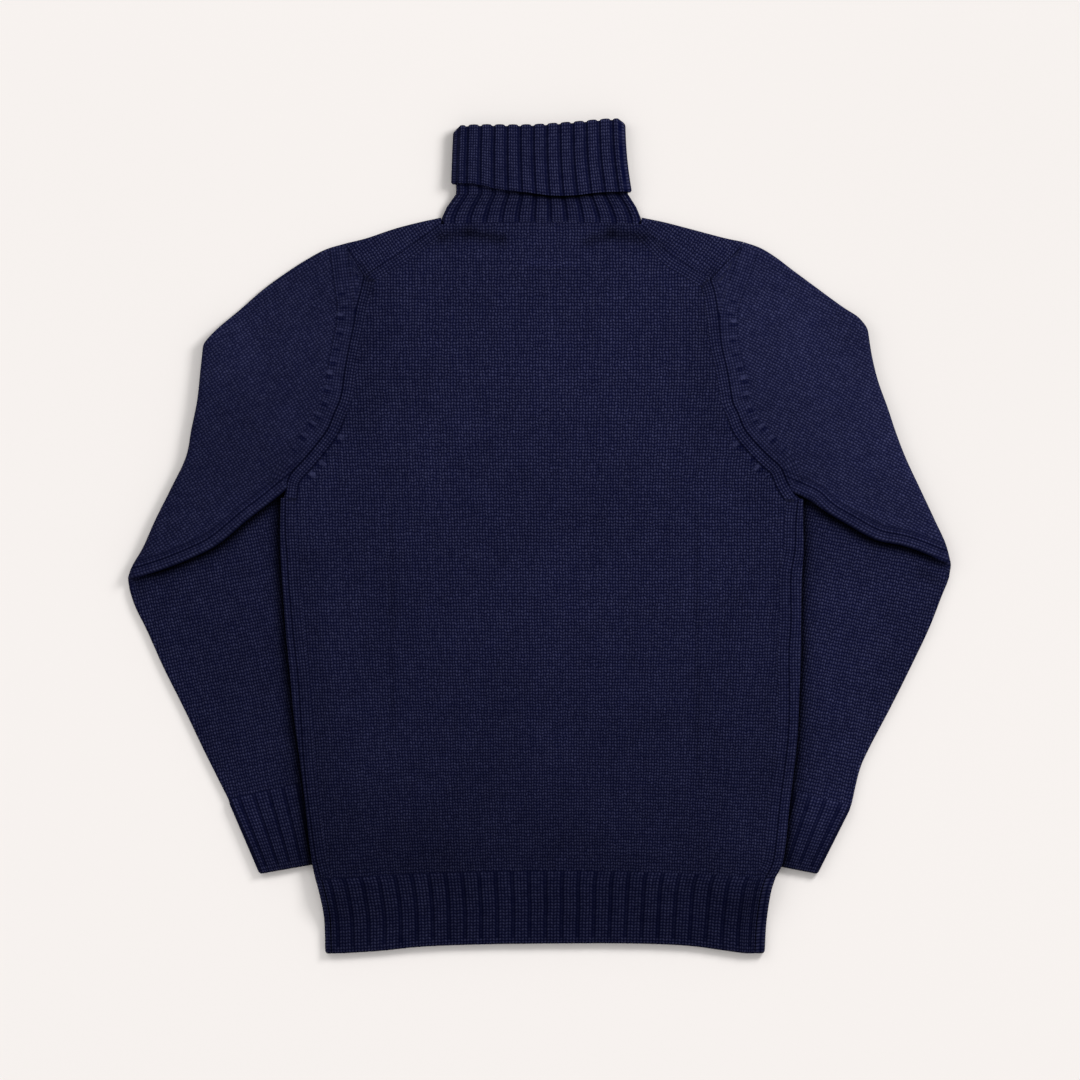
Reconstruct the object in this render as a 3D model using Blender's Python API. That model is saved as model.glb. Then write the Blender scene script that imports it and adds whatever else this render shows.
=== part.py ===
"""Roll-neck sweater laid flat, back upwards, both sleeves folded under at the elbow.

Readings of the layout are in sheet units (x to the right, y down, UNIT mm each);
everything else is in millimetres, and the meshes are in metres.
The garment rests on z = 0, +X to the right, +Y towards the collar.
"""

import math

import bpy
import numpy as np

# ---------------------------------------------------------------- sizes (mm)
UNIT = 0.97  # millimetres in one sheet unit
MID_X, MID_Y = 539.5, 536.5  # sheet point above the origin
JERSEY = 2.6  # wall of the plain knit
RIB = 3.4  # wall of the ribbed knit
GROOVE = 1.2  # depth between two ribs
INNER_GAP = 0.3  # between the two walls of a flattened tube
SEAM_GAP = 0.3  # between two pieces at a seam
LIFT = 7.5  # how far the upper layers rise over a folded forearm
LIFT_MARGIN = 6.0  # they stay up this far past the forearm's edge ...
LIFT_FALL = 44.0  # ... and come down over this length
HEM_TAPER = 9.0  # the rib's wall reaches its full thickness this far below the seam
HEM_RIBS = 27
CUFF_RIBS = 7
COLLAR_RIBS = 12
NECK_DROP_FRONT = 26.0  # front neckline below the back one, at the middle

R_OUT = JERSEY + INNER_GAP / 2  # outer radius of a side fold
R_MID = R_OUT - JERSEY / 2
FOLD_R = LIFT / 2  # mid radius of the sleeve's fold at the elbow
FOLD_Z = FOLD_R + R_OUT
ROLL_STEPS = (-90.0, -45.0, 0.0, 45.0, 90.0)


def at(x, y):
    return np.array([(x - MID_X) * UNIT, (MID_Y - y) * UNIT])


def points(table):
    return np.array([at(x, y) for x, y in table])


# ------------------------------------------------- the body's outline (sheet)
# Rows from the hem seam up to the armpit. edge: the fold at the side,
# seam: how far inside it the side seam lies on the back, bow: rise mid-row.
SIDE_ROWS = [
    # left edge       right edge      seam_l seam_r  bow
    ((315.5, 879.0), (775.5, 877.0), 6.5, 10.0, 7.0),
    ((305.5, 800.0), (790.0, 800.0), 5.5, 9.5, 3.0),
    ((294.0, 716.0), (798.0, 716.0), 7.5, 10.0, 1.0),
    ((286.0, 632.0), (801.0, 632.0), 7.5, 10.5, 0.0),
    ((282.5, 576.0), (802.0, 576.0), 5.5, 10.0, 0.0),
    ((280.0, 530.0), (803.0, 530.0), 5.0, 8.0, 0.0),
    ((281.0, 498.0), (803.0, 499.0), 4.6, 5.5, 0.0),
]
# Rows up the armhole seam, the same on the back and the front.
ARMHOLE_ROWS = [
    # left            right
    ((303.5, 459.0), (771.7, 459.0)),
    ((328.0, 428.0), (744.0, 428.0)),
    ((341.6, 392.0), (731.0, 392.0)),
    ((349.0, 346.0), (721.7, 346.0)),
    ((356.5, 308.0), (717.3, 308.0)),
]
# The back ends at the shoulder seams, which lie behind the shoulder line.
BACK_TOP_ROWS = [
    # left            right            bow
    ((364.0, 275.0), (710.0, 279.0), 0.0),
    ((405.0, 249.0), (671.0, 254.0), 0.0),
    ((440.5, 224.0), (641.5, 224.0), 2.5),
]
# The front reaches the shoulder line and folds over it to the back.
FRONT_SHOULDER = ((350.0, 274.0), (732.0, 274.0))
SHOULDER_LINE_L = [(345.0, 243.0), (365.0, 238.0), (395.0, 228.0), (441.0, 217.0)]
SHOULDER_LINE_R = [(745.0, 242.0), (727.0, 238.0), (689.0, 228.0), (642.0, 217.0)]
# Columns across a row, as shares of its width: close together at the sides,
# where the cloth comes down off the forearms; two of them meet the neck.
COLUMNS = (0.0, 0.075, 0.105, 0.14, 0.24, 0.28, 0.345, 0.4925, 0.64, 0.705, 0.745, 0.79, 0.83, 0.88, 0.93, 1.0)
NECK_COLUMNS = (4, 10)

# ------------------------------------------------------- the sleeves (sheet)
SLEEVES = {
    "left": {
        "over_arm": [(345, 243), (308, 258), (264, 288), (229, 318), (203, 344)],
        "under_arm": [(281, 494), (249, 519), (216, 546), (170, 567), (126.4, 581)],
        "fold": [(203, 344), (198, 394), (188, 446), (171, 488), (151, 528), (126.4, 581)],
        "inner_edge": [(203, 344), (246, 420), (288, 500), (306, 600), (322, 700), (337, 774)],
        "outer_edge": [(126.4, 581), (145, 628), (183, 708), (204, 752), (228, 800)],
        "cuff_end": [(345, 859), (259, 874)],
    },
    "right": {
        "over_arm": [(745, 242), (778, 258), (818, 288), (848, 309), (868, 329)],
        "under_arm": [(803, 495), (846, 524), (876, 540), (926, 554), (952.8, 567)],
        "fold": [(868, 329), (880, 386), (896, 432), (914, 478), (932, 518), (952.8, 567)],
        "inner_edge": [(868, 329), (830, 410), (797, 490), (766, 600), (748, 700), (738, 778)],
        "outer_edge": [(952.8, 567), (930, 628), (891, 708), (870, 748), (852, 805)],
        "cuff_end": [(731, 857), (818, 874)],
    },
}
UPPER_STATIONS = 8
FOREARM_STATIONS = (0.0, 0.1, 0.25, 0.45, 0.7, 1.0)
CUFF_STATIONS = (0.0, 0.12, 1.0)

# ------------------------------------------------------- the collar (sheet)
# Rows of the stand, from the neck seam up to where the turnover hides it.
STAND_ROWS = [
    # left x  right x  height y  wall    centre z
    (442.6, 639.9, None, JERSEY, R_OUT),
    (443.6, 638.9, 217.0, JERSEY, R_OUT),
    (446.5, 636.5, 207.0, 3.0, 4.6),
    (456.0, 628.0, 194.0, RIB, 7.0),
]
# Turnover: the outline's sides, and its upper and lower edges from left to right.
TURN_TOP_X, TURN_LOW_X = (453.0, 625.5), (451.0, 632.0)
TURN_TOP_Y = [(453.0, 128.0), (470.0, 125.5), (530.0, 125.0), (617.0, 119.0), (625.5, 122.0)]
TURN_LOW_Y = [(451.0, 184.0), (497.0, 189.0), (550.0, 196.0), (573.0, 196.0), (632.0, 192.0)]
TURN_R = (RIB + SEAM_GAP) / 2  # mid radius of the fold at the top
STAND_RHO = INNER_GAP / 2 + RIB / 2
TURN_RHO = STAND_RHO + 2 * TURN_R

HEM_EDGE_L = [(315.5, 879.3), (318.5, 889.0), (325.0, 953.0)]
HEM_EDGE_R = [(775.5, 877.3), (771.5, 889.0), (765.0, 953.0)]
HEM_LOW_Y = [
    (325.0, 953.9), (380.0, 951.5), (420.0, 947.5), (480.0, 945.0),
    (640.0, 944.2), (690.0, 946.5), (720.0, 950.5), (765.0, 953.6),
]

NAVY = (0.0125, 0.0135, 0.0440)
NAVY_RIB = (0.0105, 0.0115, 0.0385)


# ------------------------------------------------------------------ geometry
def along(line, share):
    """Points at these shares of a polyline's length."""
    line = np.asarray(line, float)
    run = np.concatenate([[0.0], np.cumsum(np.linalg.norm(np.diff(line, axis=0), axis=1))])
    share = np.atleast_1d(share) * run[-1]
    return np.stack([np.interp(share, run, line[:, k]) for k in range(line.shape[1])], axis=1)


def unit(v):
    return v / np.maximum(np.linalg.norm(v, axis=-1, keepdims=True), 1e-12)


def left_of(line):
    """Unit vectors to the left of a polyline at each of its points."""
    way = unit(np.gradient(np.asarray(line, float), axis=0))
    return np.stack([-way[:, 1], way[:, 0]], axis=1)


def moved(line, distance):
    """A polyline moved to its left by this much, corners mitred."""
    line = np.asarray(line, float)
    way = unit(np.diff(line, axis=0))
    side = np.stack([-way[:, 1], way[:, 0]], axis=1)
    corner = unit(np.vstack([side[:1], side[:-1] + side[1:], side[-1:]]))
    cut = np.concatenate([[1.0], np.sum(corner[1:-1] * side[1:], axis=1), [1.0]])
    return line + distance * corner / cut[:, None]


def footprint(name):
    """Outline of the forearm and cuff under the other layers, let out past the elbow."""
    sleeve, out = SLEEVES[name], (-80 if name == "left" else 80)
    inner = sleeve["inner_edge"] + [sleeve["cuff_end"][0]]
    low = inner[-1]
    outer = sleeve["outer_edge"][::-1]
    return points(
        inner
        + [(low[0], low[1] + 20), (sleeve["cuff_end"][1][0], low[1] + 20)]
        + [(x + out, y) for x, y in outer]
        + [(sleeve["fold"][0][0] + out, sleeve["fold"][0][1])]
    )


FOOTPRINTS = [footprint("left"), footprint("right")]


def past(polygon, p):
    """How far each point is outside a polygon; 0 inside it."""
    a, b = polygon, np.roll(polygon, -1, axis=0)
    ab = b - a
    ap = p[:, None, :] - a[None]
    t = np.clip(np.sum(ap * ab, axis=2) / np.sum(ab * ab, axis=1), 0, 1)
    far = np.linalg.norm(ap - t[..., None] * ab, axis=2).min(axis=1)
    crosses = (a[:, 1] > p[:, None, 1]) != (b[:, 1] > p[:, None, 1])
    x = a[:, 0] + ab[:, 0] * (p[:, None, 1] - a[:, 1]) / np.where(ab[:, 1] == 0, 1e-9, ab[:, 1])
    inside = (np.sum(crosses & (p[:, None, 0] < x), axis=1) % 2) == 1
    return np.where(inside, 0.0, far)


def lift(p):
    """Height of the underside of the upper layers over the points p (n, 2)."""
    p = np.asarray(p, float).reshape(-1, 2)
    high = np.zeros(len(p))
    for polygon in FOOTPRINTS:
        t = np.clip((past(polygon, p) - LIFT_MARGIN) / LIFT_FALL, 0, 1)
        high = np.maximum(high, 1 - t * t * (3 - 2 * t))
    return LIFT * high


def lay(p, z):
    return np.column_stack([p, np.broadcast_to(z, len(p))])


class Cloth:
    """Patches of a wall's mid surface, joined where their points meet and given a thickness."""

    def __init__(self):
        self.keys, self.mid, self.normal, self.half, self.faces = {}, [], [], [], []

    def point(self, mid, normal, half):
        key = tuple(np.round(mid, 4))
        if key not in self.keys:
            self.keys[key] = len(self.mid)
            self.mid.append(mid)
            self.normal.append(normal)
            self.half.append(half)
        return self.keys[key]

    def patch(self, mid, normal, half, ring=False):
        """mid, normal: (rows, columns, 3); half: half walls to the outer and inner side, (rows, columns, 2)."""
        rows, columns = mid.shape[:2]
        normal = np.broadcast_to(normal, mid.shape)
        half = np.broadcast_to(half, (rows, columns, 2))
        index = [[self.point(mid[i, j], normal[i, j], half[i, j]) for j in range(columns)] for i in range(rows)]
        for i in range(rows - 1):
            for j in range(columns if ring else columns - 1):
                k = (j + 1) % columns
                self.faces.append((index[i][j], index[i][k], index[i + 1][k], index[i + 1][j], ring))

    def build(self, name, colour):
        mid, normal, half = np.array(self.mid), np.array(self.normal), np.array(self.half)
        faces = []
        for i, j, k, m, ring in self.faces:  # every face turned to its outer side
            a, b, c, d = (mid[q] for q in (i, j, k, m))
            if np.dot(np.cross(c - a, d - b), normal[i] + normal[j] + normal[k] + normal[m]) < 0:
                j, m = m, j
                b, d = d, b
            # A tube's two walls split alike: on the shorter diagonal seen from above.
            first, second = (c - a)[:2], (d - b)[:2]
            gap = np.hypot(*first) - np.hypot(*second)
            if ring and (gap > 0.01 or (abs(gap) <= 0.01 and first[0] * first[1] < 0)):
                faces += [(j, k, m), (j, m, i)]
            else:
                faces += [(i, j, k), (i, k, m)]
        n = len(mid)
        verts = np.vstack([mid + normal * half[:, :1], mid - normal * half[:, 1:]]) / 1000
        edges = {}
        for i, j, k in faces:
            edges.update({(i, j): True, (j, k): True, (k, i): True})
        rims = [(a, b) for a, b in edges if (b, a) not in edges]
        solid = (
            [list(q) for q in faces]
            + [[k + n for k in q[::-1]] for q in faces]
            + [[b, a, a + n, b + n] for a, b in rims]
        )
        mesh = bpy.data.meshes.new(name)
        mesh.from_pydata([tuple(v) for v in verts], [], solid)
        mesh.validate()
        mesh.update()
        mesh.polygons.foreach_set("use_smooth", [True] * len(mesh.polygons))
        obj = bpy.data.objects.new(name, mesh)
        bpy.context.scene.collection.objects.link(obj)
        mesh.materials.append(wool(name, colour))
        return obj


def wool(name, colour):
    material = bpy.data.materials.new(name + "_wool")
    material.use_nodes = True
    shader = material.node_tree.nodes["Principled BSDF"]
    shader.inputs["Base Color"].default_value = (*colour, 1.0)
    shader.inputs["Roughness"].default_value = 0.92
    shader.inputs["Metallic"].default_value = 0.0
    return material


# -------------------------------------------------------------- body panels
def row(left, right, bow, shares=COLUMNS):
    """A row of the body from one point to another, bowed upwards in the middle."""
    shares = np.asarray(shares)[:, None]
    line = left + (right - left) * shares
    line[:, 1] += (bow * UNIT * 4 * shares * (1 - shares))[:, 0]
    return line


def side_rows():
    """Per row: the fold's axis left and right, and the seams on the back."""
    found = []
    for left, right, seam_l, seam_r, bow in SIDE_ROWS:
        left, right = at(*left), at(*right)
        inset = np.array([R_OUT, 0.0])
        found.append((left + inset, right - inset, left + (seam_l * UNIT, 0), right - (seam_r * UNIT, 0), bow))
    return found


def back_panel():
    cloth, rows = Cloth(), []
    for axis_l, axis_r, seam_l, seam_r, bow in side_rows():
        whole = row(axis_l, axis_r, bow)
        height = lift(whole)
        whole[0], whole[-1] = seam_l, seam_r
        rows.append(lay(whole, height))
    for left, right in ARMHOLE_ROWS:
        line = row(at(*left), at(*right), 0.0)
        rows.append(lay(line, lift(line)))
    for left, right, bow in BACK_TOP_ROWS:
        rows.append(lay(row(at(*left), at(*right), bow), 0.0))
    mid = np.array(rows) + (0, 0, R_OUT + R_MID)
    cloth.patch(mid, (0, 0, 1), (JERSEY / 2, JERSEY / 2))
    return cloth.build("back_panel", NAVY)


def shoulder_point(k):
    """Where the armhole seam meets the shoulder fold's axis: k 0 left, 1 right."""
    top = at(*(SHOULDER_LINE_L, SHOULDER_LINE_R)[k][0])
    return top + R_OUT * unit(at(*BACK_TOP_ROWS[0][k]) - top)


def shoulder_axis(k):
    """The shoulder fold's axis, from the armhole to the neck."""
    inner = moved(points((SHOULDER_LINE_L, SHOULDER_LINE_R)[k]), (-R_OUT, R_OUT)[k])
    inner[0] = shoulder_point(k)
    a, b = NECK_COLUMNS
    shares = (COLUMNS[: a + 1], [1 - c for c in COLUMNS[: b - 1 : -1]])[k]
    return along(inner, np.array(shares) / shares[-1])


def neck_front():
    """Front neckline from the left neck point to the right one, a point a column."""
    left, right = shoulder_axis(0)[-1], shoulder_axis(1)[-1]
    a, b = NECK_COLUMNS
    share = (np.array(COLUMNS[a : b + 1]) - COLUMNS[a]) / (COLUMNS[b] - COLUMNS[a])
    line = left + (right - left) * share[:, None]
    line[:, 1] -= NECK_DROP_FRONT * UNIT * np.maximum(np.sin(math.pi * share), 0) ** 0.8
    return line


def neck_back():
    left, right, bow = BACK_TOP_ROWS[-1]
    return row(at(*left), at(*right), bow)


def front_panel():
    cloth, rows = Cloth(), []
    for axis_l, axis_r, _, _, bow in side_rows():
        line = row(axis_l, axis_r, bow)
        rows.append(lay(line, lift(line)))
    for left, right in ARMHOLE_ROWS:
        line = row(at(*left), at(*right), 0.0)
        rows.append(lay(line, lift(line)))
    line = row(at(*FRONT_SHOULDER[0]), at(*FRONT_SHOULDER[1]), 0.0)
    rows.append(lay(line, 0.0))
    left, right = shoulder_axis(0), shoulder_axis(1)[::-1]
    top = np.vstack([left, neck_front()[1:-1], right])
    rows.append(lay(top, 0.0))
    low = np.array(rows)
    cloth.patch(low + (0, 0, R_OUT - R_MID), (0, 0, -1), (JERSEY / 2, JERSEY / 2))

    # The side folds, and the strips that reach the side seams on the back.
    for side, column in ((-1, 0), (1, -1)):
        mid, normal = [], []
        for k, (axis_l, axis_r, seam_l, seam_r, _) in enumerate(side_rows()):
            axis, seam = (axis_l, seam_l) if side < 0 else (axis_r, seam_r)
            base = np.array([*axis, low[k, column, 2] + R_OUT])
            line, ways = [], []
            for angle in ROLL_STEPS:
                way = np.array([side * math.cos(math.radians(angle)), 0, math.sin(math.radians(angle))])
                line.append(base + R_MID * way)
                ways.append(way)
            line.append(np.array([seam[0] + side * SEAM_GAP, seam[1], base[2] + R_MID]))
            ways.append(np.array([0, 0, 1.0]))
            mid.append(line)
            normal.append(ways)
        cloth.patch(np.array(mid), np.array(normal), (JERSEY / 2, JERSEY / 2))

    # The shoulder folds, and the flaps that reach the shoulder seams on the back.
    for side, axis, seam in (
        (-1, left, [r[0] for r in BACK_TOP_ROWS]),
        (1, right[::-1], [r[1] for r in BACK_TOP_ROWS]),
    ):
        up = left_of(axis) if side < 0 else -left_of(axis)
        seam = moved(points(seam), SEAM_GAP * -side)
        knot = np.linalg.norm(seam[1] - seam[0]) / (
            np.linalg.norm(seam[1] - seam[0]) + np.linalg.norm(seam[2] - seam[1])
        )
        spare = len(axis) - 3  # columns beyond the seam's own three points
        before = spare // 2
        seam = along(seam, list(np.linspace(0, knot, before + 2)) + list(np.linspace(knot, 1, spare - before + 2))[1:])
        mid, normal = [], []
        for angle in ROLL_STEPS:
            c, s = math.cos(math.radians(angle)), math.sin(math.radians(angle))
            ways = np.column_stack([up * c, np.full(len(up), s)])
            mid.append(lay(axis, R_OUT) + R_MID * ways)
            normal.append(ways)
        mid.append(lay(seam, R_OUT + R_MID))
        normal.append(np.tile([0, 0, 1.0], (len(seam), 1)))
        cloth.patch(np.array(mid), np.array(normal), (JERSEY / 2, JERSEY / 2))
    return cloth.build("front_panel", NAVY)


# ------------------------------------------------------------------ sleeves
def armhole(name, layer):
    """The armhole seam from the shoulder line to the armpit, moved to the sleeve's side."""
    k = 0 if name == "left" else 1
    crown = BACK_TOP_ROWS[0][k] if layer == "back" else FRONT_SHOULDER[k]
    line = [shoulder_point(k), at(*crown)] + [at(*r[k]) for r in ARMHOLE_ROWS[::-1]]
    line.append(side_rows()[-1][k])
    line = moved(np.array(line), SEAM_GAP * (-1 if k == 0 else 1))
    line[-1] = line[-2] + (line[-1] - line[-2]) * 0.76
    if layer == "front":
        line[0] = armhole(name, "back")[0]
    return line


def pinned(line, start, end):
    """A line moved so that it runs between two given points."""
    share = np.linspace(0, 1, len(line))[:, None]
    return line + (start - line[0]) * (1 - share) + (end - line[-1]) * share


def tube_ring(line, other, r=R_MID):
    """Round a flattened tube: in-plane base, in-plane outward way and angle of each point.

    line is the wall on the outer side of the bend, other the wall under it."""
    first, last = unit(line[0] - line[1]), unit(line[-1] - line[-2])
    ring = [(p, np.zeros(2), 90.0) for p in line]
    ring += [(line[-1], last, a) for a in (45.0, 0.0, -45.0)]
    ring += [(p, np.zeros(2), -90.0) for p in other[::-1]]
    ring += [(line[0], first, a) for a in (-45.0, 0.0, 45.0)]
    return ring


def placed(ring, out, bend, radius, centre, r=R_MID):
    """3-D points and normals of a ring on a bend: bend 90 is the upper arm, -90 the forearm."""
    mid, normal = [], []
    cb, sb = math.cos(math.radians(bend)), math.sin(math.radians(bend))
    for (base, way, angle), w, z in zip(ring, out, centre):
        c, s = math.cos(math.radians(angle)), math.sin(math.radians(angle))
        up = np.array([w[0] * cb, w[1] * cb, sb])
        side = np.array([way[0], way[1], 0.0])
        mid.append(np.array([base[0], base[1], z]) + side * r * c + up * (radius + r * s))
        normal.append(side * c + up * s)
    return mid, normal


def sleeve_lines(name):
    """The edges of a sleeve's pattern in millimetres, moved in to the fold's axes."""
    sleeve = {k: points(v) for k, v in SLEEVES[name].items()}
    sign = 1 if name == "left" else -1
    fold = moved(sleeve["fold"], (FOLD_R + R_OUT) * sign)
    fold[0] += R_OUT * unit(fold[1] - fold[0])
    fold[-1] += (R_OUT + 1.0) * unit(fold[-2] - fold[-1])
    return sleeve, fold, sign


def sleeve(name):
    cloth = Cloth()
    edges, fold, sign = sleeve_lines(name)
    back, front = armhole(name, "back"), armhole(name, "front")
    run = np.concatenate([[0.0], np.cumsum(np.linalg.norm(np.diff(back, axis=0), axis=1))])
    shares = run / run[-1]
    fold_line = along(fold, shares)
    outward = -sign * left_of(fold_line)
    straight = np.zeros((2 * len(shares) + 6, 2))

    over = pinned(along(moved(edges["over_arm"], R_OUT * sign), np.linspace(0, 1, 9)), back[0], fold_line[0])
    under = pinned(along(moved(edges["under_arm"], -R_OUT * sign), np.linspace(0, 1, 9)), back[-1], fold_line[-1])
    mid, normal = [], []
    for t in np.linspace(0, 1, UPPER_STATIONS):
        walls = []
        for seam in (back, front):
            line = seam * (1 - t) + fold_line * t
            walls.append(pinned_by(line, shares, along(over, t)[0], along(under, t)[0]))
        ring = tube_ring(*walls)
        base = np.array([b for b, _, _ in ring])
        m, n = placed(ring, straight, 90.0, 0.0, lift(base) + R_OUT)
        mid.append(m)
        normal.append(n)
    ring = tube_ring(fold_line, fold_line)
    out = np.array([outward[nearest(fold_line, b)] for b, _, _ in ring])
    for bend in (60.0, 30.0, 0.0, -30.0, -60.0):
        m, n = placed(ring, out, bend, FOLD_R, np.full(len(ring), FOLD_Z))
        mid.append(m)
        normal.append(n)
    for t in FOREARM_STATIONS:
        line = forearm_line(name, edges, fold_line, shares, t)
        ring = tube_ring(line, line)
        m, n = placed(ring, straight, -90.0, 0.0, np.full(len(ring), R_OUT))
        mid.append(m)
        normal.append(n)
    cloth.patch(np.array(mid), np.array(normal), (JERSEY / 2, JERSEY / 2), ring=True)
    return cloth.build("sleeve_" + name, NAVY)


def nearest(line, p):
    return int(np.argmin(np.linalg.norm(line - p, axis=1)))


def pinned_by(line, shares, start, end):
    shares = np.asarray(shares)[:, None]
    return line + (start - line[0]) * (1 - shares) + (end - line[-1]) * shares


def forearm_ends(name, edges, fold_line):
    """The forearm's two long edges, moved in to the axes of its side folds."""
    sign = 1 if name == "left" else -1
    inner = moved(edges["inner_edge"], -R_OUT * sign)
    outer = moved(edges["outer_edge"], R_OUT * sign)
    inner[0], outer[0] = fold_line[0], fold_line[-1]
    return inner, outer


def forearm_line(name, edges, fold_line, shares, t):
    inner, outer = forearm_ends(name, edges, fold_line)
    start, end = along(inner, t)[0], along(outer, t)[0]
    flat = start + (end - start) * np.asarray(shares)[:, None]
    chord = fold_line[0] + (fold_line[-1] - fold_line[0]) * np.asarray(shares)[:, None]
    return flat + (fold_line - chord) * (1 - t) ** 2


# ----------------------------------------------------------- ribs and collar
def rib_shares(count):
    """Two columns a rib, at its middle and in its groove, with the ends."""
    return np.linspace(0, 1, 2 * count + 1)


def rib_depth(shares, count):
    """Depth of the groove at each share: none on a rib's middle, GROOVE between two ribs."""
    return GROOVE * (0.5 + 0.5 * np.cos(2 * math.pi * count * np.asarray(shares)))


def cuff(name):
    cloth = Cloth()
    edges, fold, sign = sleeve_lines(name)
    inner, outer = moved(edges["inner_edge"], -R_OUT * sign), moved(edges["outer_edge"], R_OUT * sign)
    start, end = inner[-1], outer[-1]
    way = unit(np.vstack([edges["cuff_end"][0] - start, edges["cuff_end"][1] - end]))
    start, end = start + SEAM_GAP * way[0], end + SEAM_GAP * way[1]
    low = edges["cuff_end"] + np.array([unit(end - start), unit(start - end)]) * (RIB + INNER_GAP / 2)
    shares = rib_shares(CUFF_RIBS)
    depth = rib_depth(shares, CUFF_RIBS)
    mid, normal, half = [], [], []
    for t in CUFF_STATIONS:
        wall = JERSEY if t == 0 else RIB
        r = INNER_GAP / 2 + wall / 2
        a, b = start + (low[0] - start) * t, end + (low[1] - end) * t
        line = a + (b - a) * shares[:, None]
        ring = tube_ring(line, line)
        m, n = placed(ring, np.zeros((len(ring), 2)), -90.0, 0.0, np.full(len(ring), INNER_GAP / 2 + wall), r)
        cut = 0.0 if t == 0 else 1.0
        row_depth = cut * np.concatenate([depth, np.zeros(3), depth[::-1], np.zeros(3)])
        row_depth[[0, len(shares) - 1, len(shares) + 3, 2 * len(shares) + 2]] = 0.0
        mid.append(m)
        normal.append(n)
        half.append(np.column_stack([wall / 2 - row_depth, np.full(len(ring), wall / 2)]))
    cloth.patch(np.array(mid), np.array(normal), np.array(half), ring=True)
    return cloth.build("cuff_" + name, NAVY_RIB)


def hem_sections():
    """Rows of the hem rib: outline left and right, wall, share of the way down."""
    return [(0.0, JERSEY), (0.14, RIB), (1.0, RIB)]


def hem(name):
    cloth = Cloth()
    back = name == "hem_rib_back"
    edge_l, edge_r = points(HEM_EDGE_L), points(HEM_EDGE_R)
    low = points(HEM_LOW_Y)
    shares = rib_shares(HEM_RIBS)
    depth = rib_depth(shares, HEM_RIBS)
    depth[0] = depth[-1] = 0.0
    seam_row = SIDE_ROWS[0]
    axis_l, axis_r, _, _, bow = side_rows()[0]
    joint = row(axis_l, axis_r, bow)
    rows, normal, half = [], [], []
    wraps = {-1: [], 1: []}
    for t, wall in hem_sections():
        r_out, r_mid = wall + INNER_GAP / 2, INNER_GAP / 2 + wall / 2
        left, right = (edge_l[0], edge_r[0]) if t == 0 else ((edge_l[1], edge_r[1]) if t < 1 else (edge_l[2], edge_r[2]))
        axis_l, axis_r = left + (r_out, 0), right - (r_out, 0)
        seam_l, seam_r = left + (seam_row[2] * UNIT, 0), right - (seam_row[3] * UNIT, 0)
        line = axis_l + (axis_r - axis_l) * shares[:, None]
        if t == 1:
            line[:, 1] = np.interp(line[:, 0], low[:, 0], low[:, 1])
        else:
            line[:, 1] = np.interp(line[:, 0], joint[:, 0], joint[:, 1]) - (SEAM_GAP + 0.1 if t == 0 else HEM_TAPER)
        height = lift(line)
        y_l, y_r = line[0, 1], line[-1, 1]
        if back:
            line = line.copy()
            line[0], line[-1] = (seam_l[0], y_l), (seam_r[0], y_r)
            keep = (line[:, 0] > seam_l[0] + 0.5) & (line[:, 0] < seam_r[0] - 0.5)
            keep[0] = keep[-1] = True
            # columns under a strip of the front close up towards the seam
            inside = np.flatnonzero(keep)
            line[:, 0] = np.clip(line[:, 0], seam_l[0], seam_r[0])
            first, last = inside[1], inside[-2]
            line[: first + 1, 0] = np.linspace(seam_l[0], line[first, 0], first + 1)
            line[last:, 0] = np.linspace(line[last, 0], seam_r[0], len(line) - last)
        z = height + (r_out + r_mid if back else r_out - r_mid)
        cut = depth * (0.0 if t == 0 else 1.0)
        rows.append(lay(line, z))
        normal.append(np.tile([0, 0, 1.0 if back else -1.0], (len(line), 1)))
        half.append(np.column_stack([wall / 2 - cut, np.full(len(line), wall / 2)]))
        for side, axis, seam, y, high in ((-1, axis_l, seam_l, y_l, height[0]), (1, axis_r, seam_r, y_r, height[-1])):
            base = np.array([axis[0], y, high + r_out])
            mid, ways = [], []
            for angle in ROLL_STEPS:
                way = np.array([side * math.cos(math.radians(angle)), 0, math.sin(math.radians(angle))])
                mid.append(base + r_mid * way)
                ways.append(way)
            mid.append(np.array([seam[0] + side * SEAM_GAP, y, base[2] + r_mid]))
            ways.append(np.array([0, 0, 1.0]))
            wraps[side].append((mid, ways, np.full((len(mid), 2), wall / 2)))
    cloth.patch(np.array(rows), np.array(normal), np.array(half))
    if not back:
        for side in (-1, 1):
            cloth.patch(*(np.array([w[k] for w in wraps[side]]) for k in range(3)))
    return cloth.build(name, NAVY_RIB)


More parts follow.
